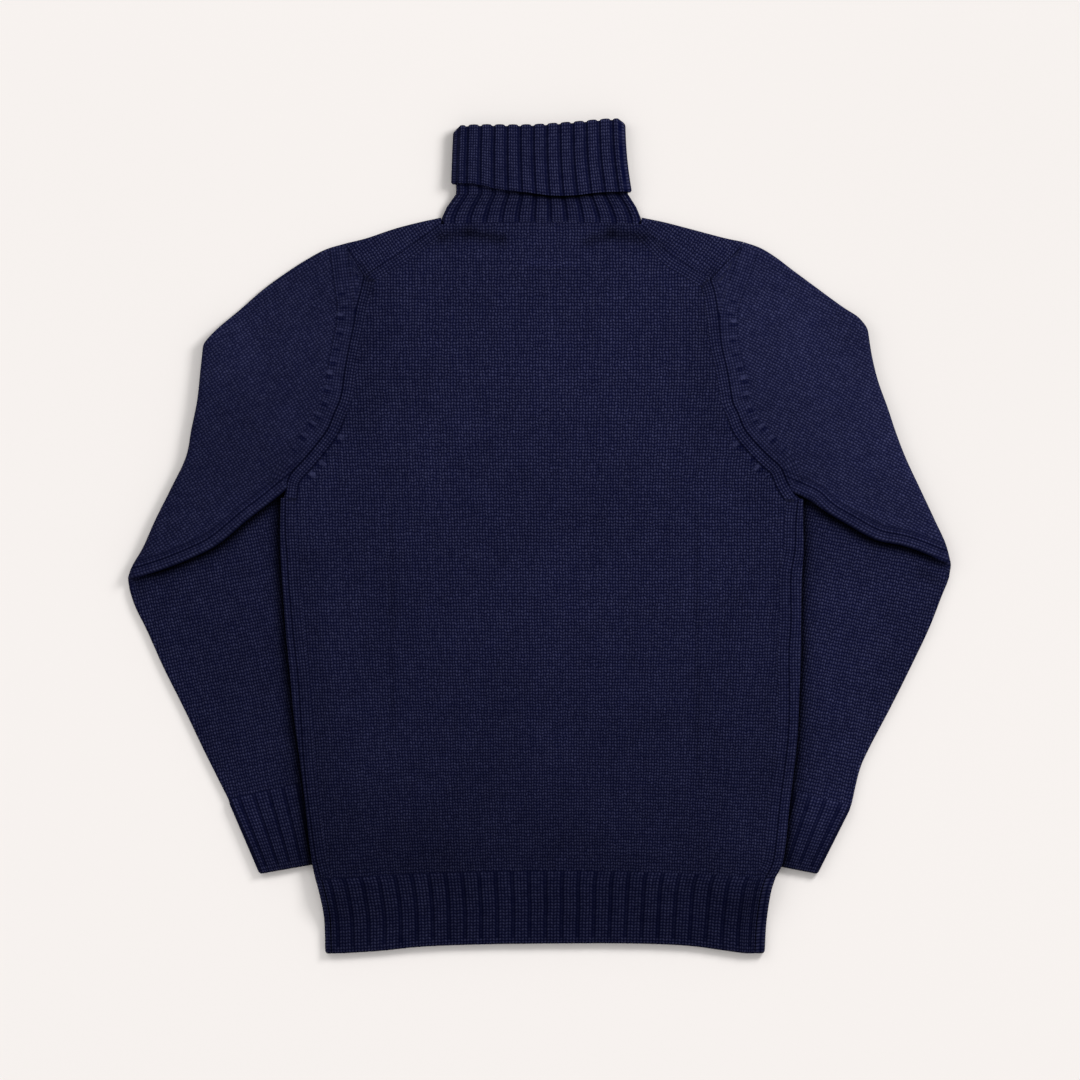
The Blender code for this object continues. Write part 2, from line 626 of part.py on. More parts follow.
def collar():
    """Stand and turnover in one: a flattened tube that folds down outside itself."""
    cloth = Cloth()
    shares = rib_shares(COLLAR_RIBS)
    depth = rib_depth(shares, COLLAR_RIBS)
    depth[0] = depth[-1] = 0.0
    top, low = points(TURN_TOP_Y), points(TURN_LOW_Y)
    ends = (45.0, 0.0, -45.0)
    mid, normal, half = [], [], []

    def ring_row(x_l, x_r, y_back, y_front, rho, tilt, wall, z, cut_a, cut_b):
        """x_l, x_r: ends of the flat part; tilt 0 on the stand, 180 on the turnover."""
        ca, sa = math.cos(math.radians(tilt)), math.sin(math.radians(tilt))
        x = x_l + (x_r - x_l) * shares
        line = [(a, y, 0.0, 1.0, d) for a, y, d in zip(x, y_back(x), depth)]
        end_l, end_r = (max(y_back(e), y_front(e)) + (2.2 if y_back is not y_front else 0.0) for e in (x_l, x_r))
        line += [(x_r, end_r, math.cos(math.radians(a)), math.sin(math.radians(a)), 0.0) for a in ends]
        line += [(a, y, 0.0, -1.0, d) for a, y, d in zip(x[::-1], y_front(x[::-1]), depth[::-1])]
        line += [(x_l, end_l, -math.cos(math.radians(a)), math.sin(math.radians(a)), 0.0) for a in ends[::-1]]
        m, n, h = [], [], []
        for a, y, wx, wz, d in line:
            way = np.array([-ca * wx, sa, -ca * wz])
            m.append(np.array([a + rho * wx, y, z + rho * wz]))
            n.append(way)
            h.append((wall / 2 - d * cut_a, wall / 2 - d * cut_b))
        mid.append(m)
        normal.append(n)
        half.append(h)

    neck_b, neck_f = neck_back(), neck_front()
    centre = INNER_GAP / 2 + RIB + SEAM_GAP + RIB
    inset = centre
    low_l, low_r = at(TURN_LOW_X[0], 0)[0] + inset, at(TURN_LOW_X[1], 0)[0] - inset
    top_l, top_r = at(TURN_TOP_X[0], 0)[0] + inset, at(TURN_TOP_X[1], 0)[0] - inset
    for x_l, x_r, y, wall, z in STAND_ROWS:
        rho = INNER_GAP / 2 + wall / 2
        x_l, x_r = at(x_l, 0)[0] + INNER_GAP / 2 + wall, at(x_r, 0)[0] - INNER_GAP / 2 - wall
        if y is None:
            ring_row(
                x_l, x_r,
                lambda x: np.interp(x, neck_b[:, 0], neck_b[:, 1]) + SEAM_GAP,
                lambda x: np.interp(x, neck_f[:, 0], neck_f[:, 1]) + 1.5 * SEAM_GAP,
                rho, 0.0, wall, z, 0.0, 0.0,
            )
        else:
            level = lambda x: at(0, y)[1] + 0 * x
            ring_row(x_l, x_r, level, level, rho, 0.0, wall, z, 0.0, 1.0)

    def top_y(x):
        return np.interp(x, top[:, 0], top[:, 1]) - TURN_R - RIB / 2

    def low_y(x):
        return np.interp(x, low[:, 0], low[:, 1])

    stand_top = at(0, STAND_ROWS[-1][2])[1]
    stand_l, stand_r = (at(x, 0)[0] for x in STAND_ROWS[-1][:2])
    half_y = lambda x: (top_y(x) + stand_top) / 2
    ring_row(
        (top_l + stand_l + STAND_RHO + RIB / 2) / 2, (top_r + stand_r - STAND_RHO - RIB / 2) / 2 - 1.9, half_y, half_y,
        STAND_RHO, 0.0, RIB, centre, 0.0, 0.0,
    )
    ring_row(top_l, top_r, top_y, top_y, STAND_RHO, 0.0, RIB, centre, 0.0, 0.0)
    for tilt in (45.0, 90.0, 135.0, 180.0):
        c, s = math.cos(math.radians(tilt)), math.sin(math.radians(tilt))
        roll_y = lambda x: top_y(x) + TURN_R * s
        ring_row(
            top_l, top_r, roll_y, roll_y,
            STAND_RHO + TURN_R * (1 - c), tilt, RIB, centre, 1.0 if tilt > 60 else 0.0, 0.0,
        )
    mid_y = lambda x: (top_y(x) + low_y(x)) / 2
    ring_row(
        (top_l + low_l) / 2, (top_r + low_r) / 2 - 1.5, mid_y, mid_y,
        TURN_RHO, 180.0, RIB, centre, 1.0, 0.0,
    )
    ring_row(low_l, low_r, low_y, low_y, TURN_RHO, 180.0, RIB, centre, 1.0, 0.0)
    cloth.patch(np.array(mid), np.array(normal), np.array(half), ring=True)
    return cloth.build("collar", NAVY_RIB)


def main():
    for obj in list(bpy.data.objects):
        bpy.data.objects.remove(obj, do_unlink=True)
    front_panel()
    back_panel()
    hem("hem_rib_front")
    hem("hem_rib_back")
    for name in ("left", "right"):
        sleeve(name)
        cuff(name)
    collar()


main()
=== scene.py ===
import math

import bpy
import numpy as np
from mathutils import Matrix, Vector


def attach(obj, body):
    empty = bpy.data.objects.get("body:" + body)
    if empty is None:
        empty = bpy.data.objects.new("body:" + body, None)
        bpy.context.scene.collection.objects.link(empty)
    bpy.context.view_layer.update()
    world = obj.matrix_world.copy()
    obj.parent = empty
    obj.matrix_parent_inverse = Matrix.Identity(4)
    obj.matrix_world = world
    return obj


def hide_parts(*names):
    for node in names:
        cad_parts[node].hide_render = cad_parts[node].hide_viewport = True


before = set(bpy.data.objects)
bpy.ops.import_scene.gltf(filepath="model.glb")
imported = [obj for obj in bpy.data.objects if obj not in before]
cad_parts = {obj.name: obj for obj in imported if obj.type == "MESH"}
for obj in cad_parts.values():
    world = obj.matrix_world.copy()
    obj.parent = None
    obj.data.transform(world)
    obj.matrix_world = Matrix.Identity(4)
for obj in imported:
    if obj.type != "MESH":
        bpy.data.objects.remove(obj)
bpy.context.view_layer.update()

# =====================================================================
# Sizes, in millimetres, and the layout, in sheet units of UNIT mm each
# (x to the right, y down), as on the solids.
# =====================================================================
UNIT = 0.97
MID_X, MID_Y = 539.5, 536.5
JERSEY, RIB = 2.6, 3.4
INNER_GAP, SEAM_GAP = 0.3, 0.3
LIFT, LIFT_MARGIN, LIFT_FALL = 7.5, 6.0, 44.0
R_OUT = JERSEY + INNER_GAP / 2
R_MID = R_OUT - JERSEY / 2
FOLD_R = LIFT / 2
FOLD_Z = FOLD_R + R_OUT
HEM_RIBS, CUFF_RIBS, COLLAR_RIBS = 27, 7, 12
COLLAR_GROOVE, CUFF_GROOVE, HEM_GROOVE = 2.1, 1.2, 0.95
RIB_SHARE, HEM_SHARE = 0.74, 0.80
NECK_DROP_FRONT = 26.0
WALE, COURSE = 5.53, 3.10
TURN_R = (RIB + SEAM_GAP) / 2
STAND_RHO = INNER_GAP / 2 + RIB / 2
TURN_RHO = STAND_RHO + 2 * TURN_R
SEAM_REACH, SEAM_LOW, SEAM_SINK = 2.0, 0.72, 0.15
NEAR = 0.08  # left between two pieces at a seam
CORNER = 2.0  # taken off the sleeve's two folded corners

# The body's side folds, from the hem seam up to the armpit.
EDGE_L = [(315.5, 879), (312, 862), (306, 810), (300, 760), (294, 716), (290, 674), (286, 632), (283, 590), (281, 560), (280, 534), (281, 498)]
EDGE_R = [(775.5, 877), (782, 864), (790, 800), (797, 740), (799, 700), (801, 655), (801, 620), (802, 575), (803.5, 550), (803, 520), (803, 499)]
# The side seams, which lie on the back.
SEAM_L = [(321.5, 879), (317, 862), (309, 806), (304, 760), (301, 716), (298, 674), (294, 639), (289.5, 590), (287.5, 560), (285.5, 530), (285.8, 498)]
SEAM_R = [(765.5, 877), (772, 864), (780, 800), (787.5, 740), (789, 700), (788.5, 655), (790.5, 620), (790.5, 575), (794.5, 550), (795.5, 520), (797.5, 499)]
# Armhole seams from the armpit up to the shoulder seam's end.
HOLE_L = [(285.8, 498), (289, 478), (303.5, 460), (317.5, 443), (328, 428), (334.5, 412), (339, 402), (341.6, 392), (345, 368), (349, 346), (353, 327), (357, 305), (361, 289), (364, 275)]
HOLE_R = [(797.5, 499), (787.5, 484), (780, 467), (771.7, 459), (760, 447.5), (744, 428), (738, 413), (733, 403), (731, 392), (726.5, 367), (721.7, 346), (718.5, 318), (716, 300), (713.5, 288), (710, 279)]
FRONT_HOLE_L = [(285.8, 498), (289, 478), (303.5, 460), (317.5, 443), (328, 428), (334.5, 412), (339, 402), (341.6, 392), (345, 368), (349, 346), (353, 327), (354, 305), (352, 289), (350, 274)]
FRONT_HOLE_R = [(797.5, 499), (787.5, 484), (780, 467), (771.7, 459), (760, 447.5), (744, 428), (738, 413), (733, 403), (731, 392), (726.5, 367), (721.7, 346), (720, 318), (723, 300), (727, 288), (732, 274)]
SHOULDER_SEAM_L = [(364, 275), (385, 262), (405, 249), (423, 236), (440.5, 224)]
SHOULDER_SEAM_R = [(710, 279), (687, 265), (671, 255), (656, 240), (641.5, 224)]
SHOULDER_L = [(345, 243), (365, 238), (395, 228), (420, 221.5), (441, 217)]
SHOULDER_R = [(745, 242), (727, 238), (689, 228), (664, 221.5), (642, 217)]
NECK_SHARES = (0.24, 0.745)

SLEEVES = {
    "left": {
        "over_arm": [(345, 243), (325, 249), (308, 258), (292, 268), (264, 288), (241, 308), (218, 328), (203, 344)],
        "under_arm": [(281, 494), (270, 503), (249, 519), (216, 546), (190, 559), (165, 569), (143, 576), (126.8, 581)],
        "fold": [(203, 344), (200, 372), (197, 400), (191, 430), (186, 456), (171, 488), (155, 520), (142.5, 548), (131.5, 567), (126.8, 581)],
        "inner_edge": [(203, 344), (246, 420), (288, 500), (299, 550), (306, 600), (322, 700), (337, 774)],
        "outer_edge": [(126.8, 581), (129.5, 592), (135, 608), (145, 628), (163, 668), (183, 708), (204, 752), (217, 778), (228, 800)],
        "cuff_end": [(345, 859), (259, 874.5)],
    },
    "right": {
        "over_arm": [(745, 242), (762, 248), (778, 258), (791, 268), (818, 288), (845, 308), (858, 317), (868, 329)],
        "under_arm": [(803, 495), (813, 500), (826, 512), (846, 524), (876, 540), (903, 546), (926, 554), (952.0, 567)],
        "fold": [(868, 329), (872, 355), (878, 380), (888, 408), (896, 432), (906, 458), (920, 488), (935, 520), (946, 544), (952.0, 567)],
        "inner_edge": [(868, 329), (830, 410), (797, 490), (780, 545), (766, 600), (748, 700), (738, 778)],
        "outer_edge": [(952.0, 567), (949, 580), (942.5, 596), (930, 628), (911, 668), (891, 708), (870, 748), (861, 768), (852, 805)],
        "cuff_end": [(731, 857), (818, 874.5)],
    },
}

STAND_ROWS = [
    # left x  right x  height y  wall    centre z
    (441.3, 641.4, None, JERSEY, R_OUT),
    (441.9, 640.8, 217.0, JERSEY, R_OUT),
    (446.5, 636.5, 207.0, 3.0, 4.6),
    (456.0, 628.0, 194.0, RIB, 7.0),
]
CORNER_DROP = 5.0
TURN_TOP_X, TURN_LOW_X = (453.0, 625.5), (451.0, 632.0)
TURN_TOP_Y = [(453.0, 127.5), (462, 125.5), (480.0, 124.6), (530.0, 124.5), (570, 122), (617.0, 118.8), (625.5, 121)]
TURN_LOW_Y = [(451.0, 184.0), (474, 184.5), (497.0, 189.5), (527, 193), (550.0, 196.0), (573.0, 196.0), (600, 193), (632.0, 192.0)]
HEM_EDGE_L = [(315.5, 879.3), (318.5, 889.0), (323.5, 915), (325.0, 953.0)]
HEM_EDGE_R = [(775.5, 877.3), (771.5, 889.0), (767, 920), (765.0, 953.0)]
HEM_LOW_Y = [(325.0, 953.9), (345, 953.4), (380.0, 951.2), (420.0, 947.2), (480.0, 944.8), (560, 943.8), (640.0, 944.0), (690.0, 946.3), (720.0, 950.2), (745, 953.4), (765.0, 953.6)]

# Soft ridges (+) and troughs (-) of the upper cloth, listed one by one.
FOLDS = [
    # from          to            width  height, mm
    (428, 238, 488, 243, 13.0, -1.9),
    (585, 243, 645, 236, 13.0, -1.9),
    (470, 262, 610, 262, 22.0, 0.9),
    (525, 263, 580, 265, 4.0, 0.45),
    (391, 520, 392, 745, 5.0, -0.55),
    (697, 515, 697, 760, 5.0, -0.6),
    (621, 620, 622, 800, 5.0, 0.35),
    (357, 268, 372, 292, 7.0, -1.1),
    (716, 268, 702, 294, 7.0, -1.1),
    (300, 500, 345, 470, 16.0, 0.8),
    (785, 500, 745, 470, 16.0, 0.8),
    (300, 560, 330, 850, 20.0, -0.7),
    (785, 560, 758, 850, 20.0, -0.7),
    (215, 400, 300, 440, 24.0, 0.8),
    (225, 470, 290, 455, 14.0, -0.7),
    (800, 350, 870, 420, 22.0, 1.0),
    (780, 420, 850, 480, 16.0, -0.7),
    (820, 500, 920, 535, 9.0, 0.7),
    (160, 560, 250, 508, 9.0, 0.6),
]

# Painted shade (< 1) and painted light (> 1): softly darker and lighter places painted into the upper cloth's colour.
PAINTED_LIGHT_AND_SHADE = [
    # from          to            width, mm  light
    (442, 236, 468, 232, 6.5, 0.58),
    (468, 232, 503, 238.5, 6.0, 0.48),
    (420, 243, 440, 236, 7.0, 0.80),
    (588, 241, 612, 233, 6.0, 0.58),
    (612, 233, 644, 237, 6.5, 0.50),
    (646, 238, 664, 246, 7.0, 0.82),
    (450, 224, 632, 224, 3.5, 0.90),
    (527, 262, 577, 265, 3.0, 1.17),
    (533, 270, 570, 272, 3.0, 0.88),
    (391, 525, 393, 735, 3.5, 0.86),
    (697, 515, 698, 765, 3.5, 0.84),
    (621, 625, 622, 805, 3.0, 1.10),
    (455, 560, 456, 640, 3.0, 1.06),
    (310, 905, 770, 905, 100.0, 0.80),
    (320, 840, 420, 850, 45.0, 0.88),
    (306, 560, 324, 850, 17.0, 0.88),
    (780, 560, 762, 850, 14.0, 0.90),
    (372, 310, 362, 420, 17.0, 0.88),
    (703, 310, 712, 420, 15.0, 0.88),
    (450, 360, 600, 350, 80.0, 1.05),
    (440, 600, 560, 640, 70.0, 1.05),
    (790, 300, 860, 440, 55.0, 1.16),
    (820, 620, 850, 760, 60.0, 1.14),
    (900, 470, 930, 540, 26.0, 1.10),
    (230, 310, 205, 400, 30.0, 1.08),
    (362, 267, 372, 291, 5.0, 0.72),
    (713, 270, 704, 293, 5.0, 0.78),
    (280, 470, 300, 455, 16.0, 0.88),
    (790, 470, 775, 455, 14.0, 0.92),
    (806, 487, 930, 536, 6.0, 1.10),
    (270, 490, 150, 556, 6.0, 1.06),
    (921, 573, 937, 582, 6.0, 0.72),
    (136, 581, 141, 591, 4.0, 0.78),
    (240, 815, 310, 835, 34.0, 1.16),
    (765, 835, 835, 815, 34.0, 1.24),
]

UP = np.array([0.0, 0.0, 1.0])


# =====================================================================
# Lines and fields
# =====================================================================
def at(x, y):
    return np.array([(x - MID_X) * UNIT, (MID_Y - y) * UNIT])


def points(table):
    return np.array([at(x, y) for x, y in table])


def unit(v):
    return v / np.maximum(np.linalg.norm(v, axis=-1, keepdims=True), 1e-12)


def smooth(line, steps=24):
    """A dense line through every point, by centripetal Catmull-Rom."""
    p = np.asarray(line, float)
    ends = np.vstack([2 * p[0] - p[1], p, 2 * p[-1] - p[-2]])
    found = []
    for i in range(len(p) - 1):
        p0, p1, p2, p3 = ends[i : i + 4]
        t = [0.0]
        for a, b in ((p0, p1), (p1, p2), (p2, p3)):
            t.append(t[-1] + max(np.linalg.norm(b - a), 1e-9) ** 0.5)
        s = np.linspace(t[1], t[2], steps, endpoint=False)[:, None]
        a1 = (t[1] - s) / (t[1] - t[0]) * p0 + (s - t[0]) / (t[1] - t[0]) * p1
        a2 = (t[2] - s) / (t[2] - t[1]) * p1 + (s - t[1]) / (t[2] - t[1]) * p2
        a3 = (t[3] - s) / (t[3] - t[2]) * p2 + (s - t[2]) / (t[3] - t[2]) * p3
        b1 = (t[2] - s) / (t[2] - t[0]) * a1 + (s - t[0]) / (t[2] - t[0]) * a2
        b2 = (t[3] - s) / (t[3] - t[1]) * a2 + (s - t[1]) / (t[3] - t[1]) * a3
        found.append((t[2] - s) / (t[2] - t[1]) * b1 + (s - t[1]) / (t[2] - t[1]) * b2)
    return np.vstack(found + [p[-1:]])


def curve(table):
    return smooth(points(table))


def length_along(line):
    return np.concatenate([[0.0], np.cumsum(np.linalg.norm(np.diff(line, axis=0), axis=1))])


def along(line, share):
    run = length_along(line)
    share = np.atleast_1d(share) * run[-1]
    return np.stack([np.interp(share, run, line[:, k]) for k in range(line.shape[1])], axis=1)


def left_of(line):
    way = unit(np.gradient(np.asarray(line, float), axis=0))
    return np.stack([-way[:, 1], way[:, 0]], axis=1)


def moved(line, distance):
    return line + distance * left_of(line)


def on_line(line, p):
    """Distance of each point p from a dense line, length along it, and side (+ to its left)."""
    p = np.asarray(p, float).reshape(-1, 2)
    a, b = line[:-1], line[1:]
    ab = b - a
    run = length_along(line)
    far = np.empty(len(p))
    where = np.empty(len(p))
    side = np.empty(len(p))
    for i in range(0, len(p), 20000):
        q = p[i : i + 20000]
        ap = q[:, None] - a[None]
        t = np.clip((ap * ab).sum(2) / (ab * ab).sum(1), 0, 1)
        d = np.linalg.norm(ap - t[..., None] * ab, axis=2)
        k = d.argmin(1)
        r = np.arange(len(q))
        far[i : i + 20000] = d[r, k]
        where[i : i + 20000] = run[k] + t[r, k] * (run[k + 1] - run[k])
        side[i : i + 20000] = np.sign(ab[k, 0] * ap[r, k, 1] - ab[k, 1] * ap[r, k, 0])
    return far, where, side


def footprint(name):
    sleeve, out = SLEEVES[name], (-80 if name == "left" else 80)
    inner = list(sleeve["inner_edge"]) + [sleeve["cuff_end"][0]]
    low = inner[-1]
    outer = sleeve["outer_edge"][::-1]
    return points(
        inner
        + [(low[0], low[1] + 20), (sleeve["cuff_end"][1][0], low[1] + 20)]
        + [(x + out, y) for x, y in outer]
        + [(sleeve["fold"][0][0] + out, sleeve["fold"][0][1])]
    )


FOOTPRINTS = [footprint("left"), footprint("right")]


def past(polygon, p):
    a, b = polygon, np.roll(polygon, -1, axis=0)
    ab = b - a
    ap = p[:, None, :] - a[None]
    t = np.clip(np.sum(ap * ab, axis=2) / np.sum(ab * ab, axis=1), 0, 1)
    far = np.linalg.norm(ap - t[..., None] * ab, axis=2).min(axis=1)
    crosses = (a[:, 1] > p[:, None, 1]) != (b[:, 1] > p[:, None, 1])
    x = a[:, 0] + ab[:, 0] * (p[:, None, 1] - a[:, 1]) / np.where(ab[:, 1] == 0, 1e-9, ab[:, 1])
    inside = (np.sum(crosses & (p[:, None, 0] < x), axis=1) % 2) == 1
    return np.where(inside, 0.0, far)


def lift(p):
    p = np.asarray(p, float)
    shape = p.shape[:-1]
    p = p.reshape(-1, 2)
    high = np.zeros(len(p))
    for polygon in FOOTPRINTS:
        t = np.clip((past(polygon, p) - LIFT_MARGIN) / LIFT_FALL, 0, 1)
        high = np.maximum(high, 1 - t * t * (3 - 2 * t))
    return (LIFT * high).reshape(shape)


def swell(p, seed, size):
    """A gentle, even-tempered unevenness between about -1 and 1."""
    rng = np.random.default_rng(seed)
    x, y = p[..., 0], p[..., 1]
    total = 0
    for k in range(7):
        angle, phase = rng.uniform(0, 2 * math.pi, 2)
        wave = 2 * math.pi / (size * rng.uniform(0.7, 1.6))
        total = total + np.sin(wave * (x * math.cos(angle) + y * math.sin(angle)) + phase)
    return total / 4.0


def ease(t):
    t = np.clip(t, 0, 1)
    return t * t * (3 - 2 * t)


def relief(p):
    """Height of the folds and the unevenness of the upper cloth over the points p (..., 2)."""
    p = np.asarray(p, float)
    flat = p.reshape(-1, 2)
    high = 0.35 * swell(flat, 3, 90.0) + 0.18 * swell(flat, 11, 30.0)
    for x1, y1, x2, y2, width, height in FOLDS:
        a, b = at(x1, y1), at(x2, y2)
        ab = b - a
        t = np.clip(((flat - a) @ ab) / max(ab @ ab, 1e-9), 0, 1)
        d = np.linalg.norm(flat - a - t[:, None] * ab, axis=1)
        high = high + height * np.exp(-((d / width) ** 2))
    # never deep enough to reach the layer below
    high = np.where(high < 0, -0.25 * np.tanh(-high / 0.25), high)
    return high.reshape(p.shape[:-1])


def painted_light_and_shade(p):
    """Painted light and shade: share of the light that the upper cloth's colour is given, for the dents and the hang
    that are too soft for its relief.
    """
    p = np.asarray(p, float)
    flat = p.reshape(-1, 2)
    share = np.ones(len(flat))
    for x1, y1, x2, y2, width, light in PAINTED_LIGHT_AND_SHADE:
        a, b = at(x1, y1), at(x2, y2)
        ab = b - a
        t = np.clip(((flat - a) @ ab) / max(ab @ ab, 1e-9), 0, 1)
        d = np.linalg.norm(flat - a - t[:, None] * ab, axis=1)
        share = share * (1 + (light - 1) * np.exp(-((d / width) ** 2)))
    return share.reshape(p.shape[:-1])


# =====================================================================
# Shells: grids of a wall's mid surface, welded and given a thickness
# =====================================================================
class Shell:
    def __init__(self, name):
        self.name = name
        self.co, self.no, self.out, self.inn, self.uv, self.seam, self.dim, self.rim = [], [], [], [], [], [], [], []
        self.quads, self.count, self.blocks = [], 0, []

    # the share of light painted into the colour at each point, for painted shade and painted light, goes into the
    # 'depth' map
    def grid(self, mid, normal, out, inn, uv, seam=None, ring=False, dim=1.0, rim=None):
        mid = np.asarray(mid, float)
        dim = np.broadcast_to(dim, mid.shape[:2])
        shape = mid.shape[:2]
        normal = np.broadcast_to(normal, mid.shape)
        out, inn = np.broadcast_to(out, shape), np.broadcast_to(inn, shape)
        uv = np.asarray(uv, float)
        if ring:  # the first column again, so that the map has a cut there
            mid, normal, out, inn, dim = (np.concatenate([v, v[:, :1]], axis=1) for v in (mid, normal, out, inn, dim))
        rows, columns = mid.shape[:2]
        seam = np.full((rows, columns, 2), 1000.0) if seam is None else np.asarray(seam, float)
        rim = np.full((rows, columns, 2), 1000.0) if rim is None else rim
        assert uv.shape[:2] == seam.shape[:2] == (rows, columns), (self.name, uv.shape, seam.shape, mid.shape)
        index = np.arange(rows * columns).reshape(rows, columns) + self.count
        self.quads.append(
            np.stack([index[:-1, :-1], index[:-1, 1:], index[1:, 1:], index[1:, :-1]], axis=-1).reshape(-1, 4)
        )
        self.blocks.append((rows, columns))
        self.count += rows * columns
        for store, value in zip(
            (self.co, self.no, self.out, self.inn, self.uv, self.seam, self.dim, self.rim),
            (mid, normal, out, inn, uv, seam, np.stack([dim, dim], axis=-1), rim),
        ):
            store.append(np.asarray(value, float).reshape(rows * columns, -1))

    def build(self, material, slot):
        co, no, out, inn, uv, seam, dim, rims = (
            np.concatenate(v) for v in (self.co, self.no, self.out, self.inn, self.uv, self.seam, self.dim, self.rim)
        )
        quads = np.concatenate(self.quads)
        _, first, weld = np.unique(np.round(co, 3), axis=0, return_index=True, return_inverse=True)
        weld = weld.reshape(-1)
        a, b, c, d = (co[quads[:, k]] for k in range(4))
        facing = (np.cross(c - a, d - b) * no[quads].sum(axis=1)).sum(axis=1)
        turned = quads[:, [0, 3, 2, 1]]
        quads = np.where((facing < 0)[:, None], turned, quads)
        n = len(first)
        outer = co[first] + no[first] * out[first]
        inner = co[first] - no[first] * inn[first]
        solid = weld[quads]
        edge_from = solid.reshape(-1)
        edge_to = np.roll(solid, -1, axis=1).reshape(-1)
        raw_from = quads.reshape(-1)
        raw_to = np.roll(quads, -1, axis=1).reshape(-1)
        code = edge_from.astype(np.int64) * n + edge_to
        back = edge_to.astype(np.int64) * n + edge_from
        rim = ~np.isin(code, back) & (edge_from != edge_to)
        rim_v = np.stack([edge_to[rim], edge_from[rim], edge_from[rim] + n, edge_to[rim] + n], axis=1)
        rim_raw = np.stack([raw_to[rim], raw_from[rim], raw_from[rim], raw_to[rim]], axis=1)
        faces = np.concatenate([solid, solid[:, ::-1] + n, rim_v])
        corner = np.concatenate([quads, quads[:, ::-1], rim_raw]).reshape(-1)
        verts = np.concatenate([outer, inner]) / 1000.0
        mesh = bpy.data.meshes.new(self.name)
        mesh.vertices.add(len(verts))
        mesh.vertices.foreach_set("co", verts.astype(np.float32).reshape(-1))
        mesh.loops.add(len(faces) * 4)
        mesh.loops.foreach_set("vertex_index", faces.astype(np.int32).reshape(-1))
        mesh.polygons.add(len(faces))
        mesh.polygons.foreach_set("loop_start", np.arange(0, len(faces) * 4, 4, dtype=np.int32))
        mesh.polygons.foreach_set("use_smooth", np.ones(len(faces), bool))
        # the 'depth' map holds the painted light and shade
        for title, values in (("grain", uv), ("seam", seam), ("depth", dim), ("rim", rims)):
            layer = mesh.uv_layers.new(name=title)
            layer.data.foreach_set("uv", values[corner].astype(np.float32).reshape(-1))
        mesh.update(calc_edges=True)
        mesh.set_sharp_from_angle(angle=math.radians(58))
        obj = bpy.data.objects.new(self.name, mesh)
        bpy.context.scene.collection.objects.link(obj)
        mesh.materials.append(material)
        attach(obj, "root")
        print(self.name, "triangles", len(faces) * 2)
        return obj


def with_z(p, z):
    return np.concatenate([p, np.broadcast_to(z, p.shape[:-1])[..., None]], axis=-1)


def eased_edge(distance, reach, low):
    """1 away from an edge, falling in a round shoulder to low at it."""
    t = np.clip(distance / reach, 0, 1)
    return low + (1 - low) * np.sqrt(np.clip(1 - (1 - t) ** 2, 0, 1))


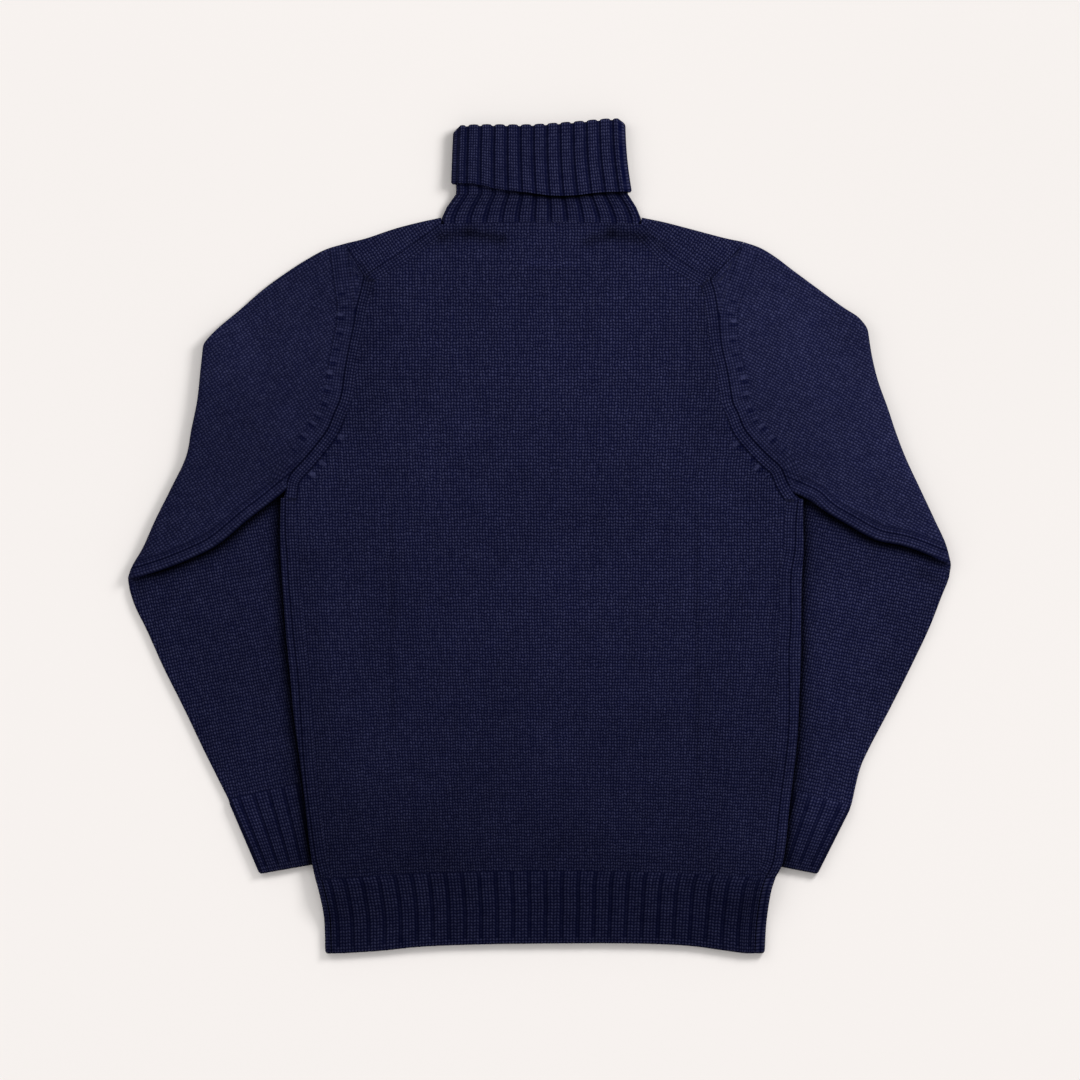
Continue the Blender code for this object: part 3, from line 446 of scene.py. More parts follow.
# =====================================================================
# Materials
# =====================================================================
class Graph:
    """Small helper: shader maths written as calls."""

    def __init__(self, name):
        self.material = bpy.data.materials.new(name)
        self.material.use_nodes = True
        self.tree = self.material.node_tree
        self.shader = self.tree.nodes["Principled BSDF"]

    def link(self, socket, value):
        if isinstance(value, (int, float)):
            socket.default_value = value
        elif isinstance(value, tuple):
            socket.default_value = value
        else:
            self.tree.links.new(value, socket)

    def math(self, kind, a, b=0.0, c=0.0, clamp=False):
        node = self.tree.nodes.new("ShaderNodeMath")
        node.operation, node.use_clamp = kind, clamp
        for socket, value in zip(node.inputs, (a, b, c)):
            self.link(socket, value)
        return node.outputs[0]

    def add(self, a, b):
        return self.math("ADD", a, b)

    def sub(self, a, b):
        return self.math("SUBTRACT", a, b)

    def mul(self, a, b):
        return self.math("MULTIPLY", a, b)

    def smooth(self, value, low, high):
        node = self.tree.nodes.new("ShaderNodeMapRange")
        node.interpolation_type = "SMOOTHSTEP"
        self.link(node.inputs["Value"], value)
        self.link(node.inputs["From Min"], low)
        self.link(node.inputs["From Max"], high)
        return node.outputs["Result"]

    def mix(self, share, a, b):
        node = self.tree.nodes.new("ShaderNodeMix")
        node.data_type = "FLOAT"
        for socket, value in zip((node.inputs[0], node.inputs[2], node.inputs[3]), (share, a, b)):
            self.link(socket, value)
        return node.outputs[0]

    def mix_colour(self, share, a, b):
        node = self.tree.nodes.new("ShaderNodeMix")
        node.data_type = "RGBA"
        for socket, value in zip((node.inputs[0], node.inputs[6], node.inputs[7]), (share, a, b)):
            self.link(socket, value)
        return node.outputs[2]

    def map(self, name):
        node = self.tree.nodes.new("ShaderNodeUVMap")
        node.uv_map = name
        split = self.tree.nodes.new("ShaderNodeSeparateXYZ")
        self.tree.links.new(node.outputs[0], split.inputs[0])
        return split.outputs[0], split.outputs[1]

    def join(self, x, y, z=0.0):
        node = self.tree.nodes.new("ShaderNodeCombineXYZ")
        for socket, value in zip(node.inputs, (x, y, z)):
            self.link(socket, value)
        return node.outputs[0]

    def noise(self, vector, scale, detail=2.0, rough=0.5):
        node = self.tree.nodes.new("ShaderNodeTexNoise")
        node.inputs["Scale"].default_value = scale
        node.inputs["Detail"].default_value = detail
        node.inputs["Roughness"].default_value = rough
        self.tree.links.new(vector, node.inputs["Vector"])
        return node.outputs["Fac"]

    def place(self):
        return self.tree.nodes.new("ShaderNodeTexCoord").outputs["Object"]

    def stitches(self, u, v, slant=0.30):
        """Height of a plain-knit face, 0 in the holes to 1 on a leg's back, and a number for each leg; a wale is 1 in u, a course 1 in v."""
        side = self.mul(self.math("ABSOLUTE", self.sub(self.math("FRACT", u), 0.5)), 2.0)
        leg = self.math("MAXIMUM", self.math("SINE", self.mul(side, math.pi)), 0.0)
        course = self.sub(v, self.mul(side, slant))
        loop = self.math("MAXIMUM", self.math("SINE", self.mul(self.math("FRACT", course), math.pi)), 0.0)
        height = self.mul(self.add(0.05, self.mul(leg, 0.95)), self.add(0.10, self.mul(loop, 0.90)))
        height = self.mul(self.math("POWER", height, 1.2), 1.04)
        white = self.tree.nodes.new("ShaderNodeTexWhiteNoise")
        white.noise_dimensions = "2D"
        cell = self.join(self.math("FLOOR", self.mul(u, 2.0)), self.math("FLOOR", course))
        self.tree.links.new(cell, white.inputs["Vector"])
        return height, white.outputs["Value"]

    def streaks(self, u, v):
        """Wales and courses that are a little lighter or darker than the next ones."""
        rows = self.noise(self.join(self.mul(u, 0.03), self.mul(v, 0.9)), 1.0, 2.0, 0.6)
        columns = self.noise(self.join(self.mul(u, 0.9), self.mul(v, 0.02), 7.0), 1.0, 2.0, 0.6)
        return self.add(1.0, self.add(self.mul(self.sub(rows, 0.5), 0.30), self.mul(self.sub(columns, 0.5), 0.30)))

    def finish(self, height, white, shade, depth, colour_in_shade, colour_high, distance, dark_lines_and_painted_shade=1.0):
        """Colour between two navies by height and shade, the darker navy in the stitches' holes and dark lines being
        painted shade, and the height as a bump.
        """
        shader = self.shader
        place = self.place()
        spot = self.noise(place, 700.0, 2.0, 0.6)
        clouds = self.noise(place, 80.0, 3.0, 0.6)
        patch = self.noise(place, 9.0, 3.0, 0.55)
        yarn = self.mul(self.add(0.72, self.mul(white, 0.56)), self.add(0.68, self.mul(spot, 0.64)))
        amount = self.mul(self.mul(height, yarn), shade)
        # painted light and shade from the 'depth' map: painted shadows under overhanging edges and the painted darker
        # and lighter places
        painted_light_map = self.map("depth")[0]
        colour = self.mix_colour(self.math("MINIMUM", amount, 1.6), colour_in_shade, colour_high)
        colour.node.clamp_factor = False
        tone = self.mul(self.add(0.80, self.mul(patch, 0.40)), self.add(0.80, self.mul(clouds, 0.40)))
        # the tone is darkened by the painted light and shade, by the dark seam lines, and by painted shade in the rib
        # grooves and at a sleeve's folded edge
        tone = self.mul(self.mul(tone, painted_light_map), dark_lines_and_painted_shade)
        node = self.tree.nodes.new("ShaderNodeMix")
        node.data_type, node.blend_type = "RGBA", "MULTIPLY"
        node.inputs[0].default_value = 1.0
        self.tree.links.new(colour, node.inputs[6])
        grey = self.tree.nodes.new("ShaderNodeCombineColor")
        for socket in grey.inputs[:3]:
            self.tree.links.new(tone, socket)
        self.tree.links.new(grey.outputs[0], node.inputs[7])
        self.tree.links.new(node.outputs[2], shader.inputs["Base Color"])
        fuzz = self.noise(place, 1300.0, 2.0, 0.7)
        total = self.add(self.mul(height, depth), self.mul(fuzz, 0.10))
        bump = self.tree.nodes.new("ShaderNodeBump")
        bump.inputs["Strength"].default_value = 1.0
        bump.inputs["Distance"].default_value = distance
        self.tree.links.new(total, bump.inputs["Height"])
        self.tree.links.new(bump.outputs[0], shader.inputs["Normal"])
        shader.inputs["Roughness"].default_value = 0.95
        shader.inputs["Metallic"].default_value = 0.0
        shader.inputs["Specular IOR Level"].default_value = 0.012
        shader.inputs["Sheen Weight"].default_value = 0.005
        shader.inputs["Sheen Roughness"].default_value = 0.5
        shader.inputs["Sheen Tint"].default_value = (0.5, 0.56, 0.95, 1.0)
        return self.material


# the darker navy is the colour in the stitches' holes and the grooves, painted shade; the lighter one is the yarn on
# the stitches' backs
NAVY_IN_SHADE = (0.0006, 0.0011, 0.0122, 1.0)
NAVY_HIGH = (0.0205, 0.0220, 0.0540, 1.0)
MARK_PITCH = 14.5


def plain_knit(name):
    """Plain knit on the grain map. Along the armhole and shoulder seams a few wales follow the seam instead,
    with narrowing marks beside them: the seam map holds the distance, below 0 on a sleeve, and the run from the armpit."""
    g = Graph(name)
    u, v = g.map("grain")
    sway = g.noise(g.join(g.mul(u, 0.21), g.mul(v, 0.13)), 1.0, 2.0, 0.6)
    rock = g.noise(g.join(g.mul(u, 0.17), g.mul(v, 0.09), 4.0), 1.0, 2.0, 0.6)
    wag = g.noise(g.join(g.mul(u, 0.85), g.mul(v, 0.60), 9.0), 1.0, 1.0, 0.5)
    bob = g.noise(g.join(g.mul(u, 0.95), g.mul(v, 0.35), 14.0), 1.0, 1.0, 0.5)
    u2 = g.add(u, g.add(g.mul(g.sub(sway, 0.5), 0.45), g.mul(g.sub(wag, 0.5), 0.42)))
    v2 = g.add(v, g.add(g.mul(g.sub(rock, 0.5), 0.7), g.mul(g.sub(bob, 0.5), 0.9)))
    main, main_white = g.stitches(u2, v2)
    su, run = g.map("seam")
    far = g.math("ABSOLUTE", su)
    on_sleeve = g.math("LESS_THAN", su, 0.0)
    band, band_white = g.stitches(g.mul(far, 1.0 / WALE), g.mul(run, 1.0 / COURSE))
    width = g.add(2.0 * WALE, g.mul(on_sleeve, 1.0 * WALE))
    in_band = g.math("LESS_THAN", far, width)
    height = g.mix(in_band, main, band)
    white = g.mix(in_band, main_white, band_white)
    shade = g.streaks(u, v)
    # along a sleeve's underarm seam, and out to the edge beyond it, the wales follow the seam
    out, rim_run = g.map("rim")
    rim, rim_white = g.stitches(g.mul(out, 1.0 / WALE), g.mul(rim_run, 1.0 / COURSE))
    in_rim = g.mul(g.math("GREATER_THAN", out, -1.2 * WALE), g.math("LESS_THAN", out, 40.0))
    in_rim = g.mul(in_rim, g.math("GREATER_THAN", far, width))
    height = g.mix(in_rim, height, rim)
    white = g.mix(in_rim, white, rim_white)
    line = g.sub(1.0, g.smooth(g.math("ABSOLUTE", out), 0.3, 1.8))
    second = g.sub(1.0, g.smooth(g.math("ABSOLUTE", g.add(out, 4.6)), 0.2, 1.5))
    # painted shade: darker towards the fold's edge beyond the seam, where the cloth turns down from the light
    turn = g.mul(g.smooth(out, 6.0, 10.0), g.math("LESS_THAN", out, 40.0))
    dark = g.add(g.add(g.mul(line, 0.62), g.mul(second, 0.40)), g.mul(turn, 0.25))
    shade = g.mul(shade, g.sub(1.0, dark))
    dark_lines_and_painted_shade = g.sub(1.0, g.mul(dark, 0.42))
    # the sleeve's upper side is knitted a little more evenly
    on_upper = g.math("LESS_THAN", out, 900.0)
    height = g.mix(on_upper, height, g.add(0.085, g.mul(height, 0.80)))
    # the seam itself, a thin dark line
    depth = g.add(0.68, g.mul(g.smooth(run, 110.0, 170.0), -0.22))
    seam = g.mul(g.sub(1.0, g.smooth(far, 0.2, 1.8)), depth)
    shade = g.mul(shade, g.sub(1.0, seam))
    dark_lines_and_painted_shade = g.mul(dark_lines_and_painted_shade, g.sub(1.0, g.mul(seam, 0.55)))
    # a dark line where the band ends: low down on the body, high up on a sleeve
    low_run = g.mul(g.sub(1.0, g.smooth(run, 85.0, 120.0)), g.sub(1.0, on_sleeve))
    high_run = g.mul(g.mul(g.smooth(run, 105.0, 140.0), g.sub(1.0, g.smooth(run, 600.0, 700.0))), on_sleeve)
    groove = g.sub(1.0, g.smooth(g.math("ABSOLUTE", g.sub(far, width)), 0.2, 1.9))
    groove = g.mul(groove, g.add(g.mul(low_run, 0.60), g.mul(high_run, 0.26)))
    shade = g.mul(shade, g.sub(1.0, groove))
    dark_lines_and_painted_shade = g.mul(dark_lines_and_painted_shade, g.sub(1.0, g.mul(groove, 0.5)))
    # narrowing marks: a light stitch with a dark pit below it
    step = g.mul(g.sub(g.math("FRACT", g.mul(run, 1.0 / MARK_PITCH)), 0.5), MARK_PITCH)
    number = g.tree.nodes.new("ShaderNodeTexWhiteNoise")
    number.noise_dimensions = "1D"
    g.tree.links.new(g.math("FLOOR", g.add(g.mul(run, 1.0 / MARK_PITCH), g.mul(on_sleeve, 50.0))), number.inputs["W"])
    odd = g.sub(number.outputs["Value"], 0.5)
    place = g.sub(far, g.add(g.add(15.0, g.mul(odd, 3.0)), g.mul(g.smooth(run, 60.0, 220.0), -3.0)))
    step = g.add(step, g.mul(odd, -3.5))
    reach = g.mul(g.smooth(run, 22.0, 34.0), g.sub(1.0, g.smooth(run, g.add(82.0, g.mul(on_sleeve, 130.0)), g.add(95.0, g.mul(on_sleeve, 130.0)))))

    def spot(away, shift, long, wide):
        d = g.math("SQRT", g.add(g.math("POWER", g.mul(g.sub(place, away), 1.0 / long), 2.0), g.math("POWER", g.mul(g.sub(step, shift), 1.0 / wide), 2.0)))
        return g.mul(g.sub(1.0, g.smooth(d, 0.35, 1.0)), reach)

    light, pit = spot(0.0, 0.0, 6.4, 3.3), spot(-0.8, -4.4, 6.0, 3.1)
    height = g.math("MAXIMUM", height, g.mul(light, g.add(0.42, g.mul(odd, 0.5))))
    shade = g.mul(shade, g.add(1.0, g.sub(g.mul(light, 0.16), g.mul(pit, 0.62))))
    return g.finish(height, white, shade, 1.0, NAVY_IN_SHADE, NAVY_HIGH, 0.0011, dark_lines_and_painted_shade)


def rib_knit(name, share, floor, line_light, dark, side, groove, close=900.0):
    """Ribs of two wales, share of the pitch wide, with a sunken purl column between: u counts ribs, v courses."""
    g = Graph(name)
    u, v = g.map("grain")
    sway = g.noise(g.join(g.mul(u, 0.3), g.mul(v, 0.11)), 1.0, 2.0, 0.6)
    cell = g.math("FRACT", g.add(u, g.mul(g.sub(sway, 0.5), 0.10)))
    on_rib = g.math("MAXIMUM", g.math("LESS_THAN", cell, share), g.math("GREATER_THAN", v, close))
    index = g.math("FLOOR", u)
    rib, white = g.stitches(g.add(g.mul(cell, 2.0 / share), g.mul(index, 2.0)), v)
    middle = 0.5 * (1.0 + share)
    line = g.sub(1.0, g.smooth(g.math("ABSOLUTE", g.sub(cell, middle)), 0.02, 0.07))
    rung = g.math("MAXIMUM", g.math("SINE", g.mul(g.math("FRACT", v), math.pi)), 0.0)
    low = g.add(floor, g.mul(g.mul(line, rung), line_light))
    height = g.mix(on_rib, low, rib)
    across = g.math("ABSOLUTE", g.sub(g.mul(cell, 2.0 / share), 1.0))
    fade = g.math("LESS_THAN", v, close)
    # painted shade: the grooves darker, each rib darker towards its sides where it turns from the light, and the
    # grooves' tone lower still
    back = g.mix(on_rib, groove, g.sub(1.0, g.mul(g.mul(g.smooth(across, 0.60, 1.0), side), fade)))
    shade = g.mul(g.mul(g.streaks(g.mul(u, 2.0), v), dark), back)
    dark_lines_and_painted_shade = g.mix(on_rib, 0.84, 1.0)
    return g.finish(height, white, shade, 1.0, NAVY_IN_SHADE, NAVY_HIGH, 0.0011, dark_lines_and_painted_shade)


# =====================================================================
# The body
# =====================================================================
ROWS_SIDE, ROWS_HOLE, ROWS_TOP = 112, 76, 30


def level_shares(n):
    return np.linspace(0, 1, n)


def at_height(line, y):
    """Points of a side line, which climbs, at given heights in mm."""
    order = np.argsort(line[:, 1])
    return np.stack([np.interp(y, line[order, 1], line[order, 0]), y], axis=1)


def body_edges(layer):
    """Left and right ends of every row from the hem to the shoulder seams (back) or the shoulder line (front)."""
    n = ROWS_SIDE
    y_l = np.linspace(at(0, 879)[1], at(0, 498)[1], n)
    y_r = np.linspace(at(0, 877)[1], at(0, 499)[1], n)
    if layer == "back":
        low_l, low_r = at_height(curve(SEAM_L), y_l), at_height(curve(SEAM_R), y_r)
    else:
        low_l, low_r = at_height(curve(EDGE_L), y_l) + (R_OUT, 0), at_height(curve(EDGE_R), y_r) - (R_OUT, 0)
    hole_l, hole_r = (HOLE_L, HOLE_R) if layer == "back" else (FRONT_HOLE_L, FRONT_HOLE_R)
    hole_l, hole_r = curve(hole_l), curve(hole_r)
    if layer == "front":
        hole_l = np.vstack([hole_l, shoulder_point(0)])
        hole_r = np.vstack([hole_r, shoulder_point(1)])
    hole_l = ease_in(hole_l, low_l[-1])
    hole_r = ease_in(hole_r, low_r[-1])
    s = np.linspace(0, 1, ROWS_HOLE)
    up_l, up_r = along(hole_l, s)[1:], along(hole_r, s)[1:]
    return np.vstack([low_l, up_l]), np.vstack([low_r, up_r])


def ease_in(line, start):
    """A line with its beginning moved to a given point, the shift dying out along it."""
    run = length_along(line)
    share = np.clip(1 - run / 20.0, 0, 1)[:, None]
    return line + (start - line[0]) * share


def shoulder_point(k):
    top = at(*(SHOULDER_L, SHOULDER_R)[k][0])
    end = at(*(SHOULDER_SEAM_L, SHOULDER_SEAM_R)[k][0])
    return top + R_OUT * unit(end - top)


def shoulder_axis(k, shares):
    line = moved(curve((SHOULDER_L, SHOULDER_R)[k]), (-R_OUT, R_OUT)[k])
    line = ease_in(line, shoulder_point(k))
    return along(line, shares)


def hem_bow(f, y):
    """How far a row rises mid-way, dying out up the body."""
    share = np.clip((y - at(0, 879)[1]) / (at(0, 640)[1] - at(0, 879)[1]), 0, 1)
    return 7.0 * UNIT * 4 * f * (1 - f) * (1 - ease(share))


def body_grain(p, bow=0.0):
    """Wales and courses of the body; the wales draw in a little towards the hem."""
    x, y = p[..., 0], p[..., 1]
    pull = np.interp(y, [at(0, 880)[1], at(0, 600)[1], at(0, 480)[1], at(0, 380)[1], at(0, 240)[1]], [0.905, 0.985, 1.0, 1.035, 1.04])
    middle = np.interp(y, [at(0, 880)[1], at(0, 480)[1]], [at(545.5, 0)[0], at(541.5, 0)[0]])
    return np.stack([(x - middle) / (WALE * pull), (y - bow) / COURSE], axis=-1)


def slanted_grain(p, turn, wale, course):
    """Wales that run down the sheet, turned so many degrees towards +X."""
    turn = math.radians(turn)
    down = np.array([math.sin(turn), -math.cos(turn)])
    across = np.array([down[1], -down[0]])
    return np.stack([p @ across / wale, -(p @ down) / course], axis=-1)


def neck_front(shares):
    left, right = shoulder_axis(0, [1.0])[0], shoulder_axis(1, [1.0])[0]
    line = left + (right - left) * shares[:, None]
    line[:, 1] -= NECK_DROP_FRONT * UNIT * np.maximum(np.sin(math.pi * shares), 0) ** 0.8
    return line


def neck_back(shares):
    left, right = at(*SHOULDER_SEAM_L[-1]), at(*SHOULDER_SEAM_R[-1])
    line = left + (right - left) * shares[:, None]
    line[:, 1] += 2.5 * UNIT * 4 * shares * (1 - shares)
    return line


def seam_field(p, lines, past_ends=True):
    """Distance to the nearest of the lines, and length along it. Without past_ends a line has nothing beyond its two ends."""
    flat = p.reshape(-1, 2)
    best, where = np.full(len(flat), 1e3), np.zeros(len(flat))
    for line in lines:
        d, s, _ = on_line(line, flat)
        if not past_ends:
            d = np.where((s <= 0.01) | (s >= length_along(line)[-1] - 0.01), 1e3, d)
        closer = d < best
        best, where = np.where(closer, d, best), np.where(closer, s, where)
    return np.stack([best, where], axis=-1).reshape(p.shape[:-1] + (2,))


def back_panel():
    left, right = body_edges("back")
    top_l, top_r = curve(SHOULDER_SEAM_L), curve(SHOULDER_SEAM_R)
    s = np.linspace(0, 1, ROWS_TOP)[1:]
    left, right = np.vstack([left, along(top_l, s)]), np.vstack([right, along(top_r, s)])
    f = np.linspace(0, 1, 170)
    p = left[:, None] + (right - left)[:, None] * f[None, :, None]
    bow = hem_bow(f[None, :], p[..., 1])
    p[..., 1] += bow
    rise = np.zeros(len(left))
    rise[-ROWS_TOP:] = np.linspace(0, 1, ROWS_TOP) ** 2
    p[..., 1] += 2.5 * UNIT * rise[:, None] * 4 * (f * (1 - f))[None]
    # distances to the seams, for the rounded, sunken edges and the seam bands
    holes = [ease_in(curve(HOLE_L), left[ROWS_SIDE - 1]), ease_in(curve(HOLE_R), right[ROWS_SIDE - 1])]
    sides = [curve(SEAM_L), curve(SEAM_R)]
    tops = [top_l, top_r]
    edge = seam_field(p, holes + sides + tops)
    band, tops_band = seam_field(p, holes, False), seam_field(p, tops, False) + (0.0, 1000.0)
    band = np.where((tops_band[..., :1] < band[..., :1]) & (tops_band[..., :1] < 15.0), tops_band, band)
    side_band = seam_field(p, sides, False) + (0.0, 2000.0)
    band = np.where((side_band[..., :1] < band[..., :1]) & (side_band[..., :1] < 2 * WALE + 1), side_band, band)
    z = lift(p) + R_OUT + R_MID + relief(p)
    round_off = eased_edge(edge[..., 0], SEAM_REACH, SEAM_LOW)
    z = z - SEAM_SINK * (1 - ease(edge[..., 0] / 7.0))
    shell = Shell("back_panel_knit")
    shell.grid(with_z(p, z), UP, JERSEY / 2 * round_off, JERSEY / 2, body_grain(p, bow), band, dim=painted_light_and_shade(p))
    return shell


def front_panel():
    shell = Shell("front_panel_knit")
    left, right = body_edges("front")
    a, b = NECK_SHARES
    f = np.concatenate([np.linspace(0, a, 36), np.linspace(a, b, 60)[1:], np.linspace(b, 1, 36)[1:]])
    fa, fb = 35, 35 + 59
    axis_l = shoulder_axis(0, f[: fa + 1] / a)
    axis_r = shoulder_axis(1, (1 - f[fb:][::-1]) / (1 - b))
    neck = neck_front((f[fa : fb + 1] - a) / (b - a))
    top = np.vstack([axis_l, neck[1:-1], axis_r[::-1]])
    p = left[:, None] + (right - left)[:, None] * f[None, :, None]
    bow = hem_bow(f[None, :], p[..., 1])
    p[..., 1] += bow
    # the last rows bend to the shoulder line and the neckline
    last = 40
    share = ease(np.linspace(0, 1, last)) ** 1.0
    p[-last:] += (top - p[-1])[None] * share[:, None, None]
    z = lift(p)
    hole_l = ease_in(curve(FRONT_HOLE_L), left[ROWS_SIDE - 1])
    hole_r = ease_in(curve(FRONT_HOLE_R), right[ROWS_SIDE - 1])
    band = seam_field(p, [hole_l, hole_r], False)
    edge = seam_field(p, [hole_l, hole_r, neck, p[0]])
    shell.grid(
        with_z(p, z + R_OUT - R_MID), -UP, JERSEY / 2 * eased_edge(edge[..., 0], 3.0, 0.4), JERSEY / 2,
        body_grain(p, bow), band,
    )
    # side folds and strips to the side seams
    n = ROWS_SIDE
    angles = np.radians(np.linspace(-90, 90, 13))
    strip = np.linspace(0, 1, 6)[1:]
    for side, axis, column, seam in ((-1, left[:n], 0, curve(SEAM_L)), (1, right[:n], -1, curve(SEAM_R))):
        seam = at_height(seam, axis[:, 1]) + (side * NEAR, 0)
        high = z[:n, column] + R_OUT
        mid, normal, arc = [], [], []
        for t in angles:
            way = np.array([side * math.cos(t), 0.0, math.sin(t)])
            flat = axis + R_MID * math.cos(t) * np.array([side, 0])
            mid.append(with_z(flat, high + R_MID * math.sin(t) + relief(axis) * (1 + math.sin(t)) / 2))
            normal.append(np.broadcast_to(way, (n, 3)))
            arc.append(np.full(n, (t - math.pi / 2) * R_MID * 1.6))
        for k in strip:
            flat = axis * (1 - k) + seam * k
            mid.append(with_z(flat, high + R_MID + relief(flat) - SEAM_SINK * ease(k)))
            normal.append(np.broadcast_to(UP, (n, 3)))
            arc.append(np.linalg.norm(flat - axis, axis=1))
        mid, normal, arc = (np.swapaxes(np.array(v), 0, 1) for v in (mid, normal, arc))
        width = np.linalg.norm(seam - axis, axis=1)[:, None]
        out = np.broadcast_to(JERSEY / 2 * eased_edge(width - arc, SEAM_REACH, SEAM_LOW), arc.shape)
        grain = np.stack([side * arc / WALE, mid[..., 1] / COURSE], axis=-1)
        band = np.stack([np.abs(width - arc) + 0.01, mid[..., 1] + 3000.0], axis=-1)
        shell.grid(mid, normal, out, JERSEY / 2, grain, band, dim=painted_light_and_shade(mid[..., :2]))
    # shoulder folds and flaps to the shoulder seams
    for side, axis, seam in ((-1, axis_l, curve(SHOULDER_SEAM_L)), (1, axis_r, curve(SHOULDER_SEAM_R))):
        outward = left_of(axis) if side < 0 else -left_of(axis)
        seam = along(moved(seam, NEAR * -side), np.linspace(0, 1, len(axis)))
        mid, normal, arc, plan = [], [], [], []
        for t in angles:
            ways = np.concatenate([outward * math.cos(t), np.full((len(axis), 1), math.sin(t))], axis=1)
            mid.append(with_z(axis, R_OUT + relief(axis) * (1 + math.sin(t)) / 2) + R_MID * ways)
            normal.append(ways)
            arc.append(np.full(len(axis), (t - math.pi / 2) * R_MID * 1.6))
            plan.append(axis - outward * arc[-1][:, None])
        for k in np.linspace(0, 1, 16)[1:]:
            flat = axis * (1 - k) + seam * k
            far = np.linalg.norm(seam - flat, axis=1)
            mid.append(with_z(flat, R_OUT + R_MID + relief(flat) - SEAM_SINK * (1 - ease(far / 7.0))))
            normal.append(np.broadcast_to(UP, (len(axis), 3)))
            arc.append(np.linalg.norm(flat - axis, axis=1))
            plan.append(flat)
        mid, normal, arc = np.array(mid), np.array(normal), np.array(arc)
        width = np.linalg.norm(seam - axis, axis=1)[None]
        out = JERSEY / 2 * eased_edge(width - arc, SEAM_REACH, SEAM_LOW)
        shell.grid(mid, normal, out, JERSEY / 2, slanted_grain(np.array(plan), -35.0 * side, WALE, COURSE), dim=painted_light_and_shade(mid[..., :2]))
    return shell


# =====================================================================
# Sleeves and cuffs
# =====================================================================
UPPER_N, FOLD_N, FORE_N, WALL_N, END_N = 92, 17, 104, 72, 7  # rows and columns of a sleeve's mesh


def pin_ends(line, start, end):
    share = np.linspace(0, 1, len(line))[:, None]
    return line + (start - line[0]) * (1 - share) + (end - line[-1]) * share


def painted_shadow_under_edges(p, lines, deep=0.80, near=3.6, wide=0.30, reach=11.0):
    """Painted shadow: share of the light that the colour keeps close to the overhanging edges of the layer above."""
    far = seam_field(p, lines)[..., 0]
    return (1 - deep * np.exp(-((far / near) ** 2))) * (1 - wide * np.exp(-((far / reach) ** 2)))


def armhole(name, layer):
    k = 0 if name == "left" else 1
    table = {("left", "back"): HOLE_L, ("left", "front"): FRONT_HOLE_L, ("right", "back"): HOLE_R, ("right", "front"): FRONT_HOLE_R}
    line = curve(table[name, layer])[::-1]
    line = np.vstack([np.linspace(shoulder_point(k), line[0], 12, endpoint=False), line])
    line = moved(line, NEAR * (-1 if k == 0 else 1))
    run = length_along(line)
    # it stops short of the armpit, where the tube's own side fold takes over
    return along(line, np.linspace(0, 1 - 12.0 / run[-1], WALL_N))


def tube_ring(line, other, first, last):
    """In-plane base (n, 2), in-plane outward way (n, 2) and angle (n) round a flattened tube."""
    ends = np.linspace(90, -90, END_N + 2)[1:-1]
    zero = np.zeros((len(line), 2))
    base = np.vstack([line, np.repeat(line[-1:], END_N, 0), other[::-1], np.repeat(line[:1], END_N, 0)])
    way = np.vstack([zero, np.repeat(last[None], END_N, 0), zero, np.repeat(first[None], END_N, 0)])
    angle = np.concatenate([np.full(len(line), 90.0), ends, np.full(len(other), -90.0), ends[::-1]])
    return base, way, np.radians(angle)


def placed(ring, outward, bend, radius, centre, r, top_extra=0.0):
    base, way, angle = ring
    c, s = np.cos(angle)[:, None], np.sin(angle)[:, None]
    cb, sb = math.cos(math.radians(bend)), math.sin(math.radians(bend))
    up = np.concatenate([outward * cb, np.full((len(base), 1), sb)], axis=1)
    side = np.concatenate([way, np.zeros((len(base), 1))], axis=1)
    mid = with_z(base, centre) + side * r * c + up * (radius + r * s)
    mid[:, 2] += top_extra
    return mid, side * c + up * s


def longer(line, start, end):
    """A line run on straight at its two ends, by so many mm."""
    a, b = unit(line[0] - line[3]), unit(line[-1] - line[-4])
    before = line[0] + a * np.linspace(start, 0, 60, endpoint=False)[:, None] if start else line[:0]
    after = line[-1] + b * np.linspace(0, end, 61)[1:, None] if end else line[:0]
    return np.vstack([before, line, after])


def crossing(a, b):
    """Indices of the points of two dense lines that are nearest each other."""
    far = np.linalg.norm(a[:, None] - b[None], axis=2)
    return np.unravel_index(far.argmin(), far.shape)


def sleeve_parts(name):
    """The sleeve's lines moved in to the axes of their folds and cut where they meet. The fold's axis has three
    pairs of ends: where the upper layer's edges cross it, where the lower layer's do, and at the corners of the outline."""
    sign = 1 if name == "left" else -1
    lines = {k: along(curve(v), np.linspace(0, 1, 500)) for k, v in SLEEVES[name].items() if k != "cuff_end"}
    axis = longer(moved(lines["fold"], (FOLD_R + R_OUT) * sign), 30.0, 30.0)
    run = length_along(axis)
    over = longer(moved(lines["over_arm"], R_OUT * sign), 0.0, 14.0)
    under = longer(moved(lines["under_arm"], -R_OUT * sign), 0.0, 14.0)
    inner = longer(moved(lines["inner_edge"], -R_OUT * sign), 14.0, 0.0)
    outer = longer(moved(lines["outer_edge"], R_OUT * sign), 14.0, 0.0)
    (i, a0), (j, a1) = crossing(over, axis), crossing(under, axis)
    (k, b0), (m, b1) = crossing(inner, axis), crossing(outer, axis)
    over, under, inner, outer = over[: i + 1], under[: j + 1], inner[k:], outer[m:]
    corners = [run[crossing(lines["fold"][[e]], axis)[1]] for e in (0, -1)]
    ways = {
        "over": (-sign * left_of(over)), "under": (sign * left_of(under)),
        "inner": (sign * left_of(inner)), "outer": (-sign * left_of(outer)),
    }
    return axis, (run[a0], run[a1]), (run[b0], run[b1]), corners, over, under, inner, outer, ways, sign


def stretch(axis, start, end):
    """WALL_N points of the axis between two lengths along it."""
    run = length_along(axis)
    return along(axis, np.linspace(start, end, WALL_N) / run[-1])


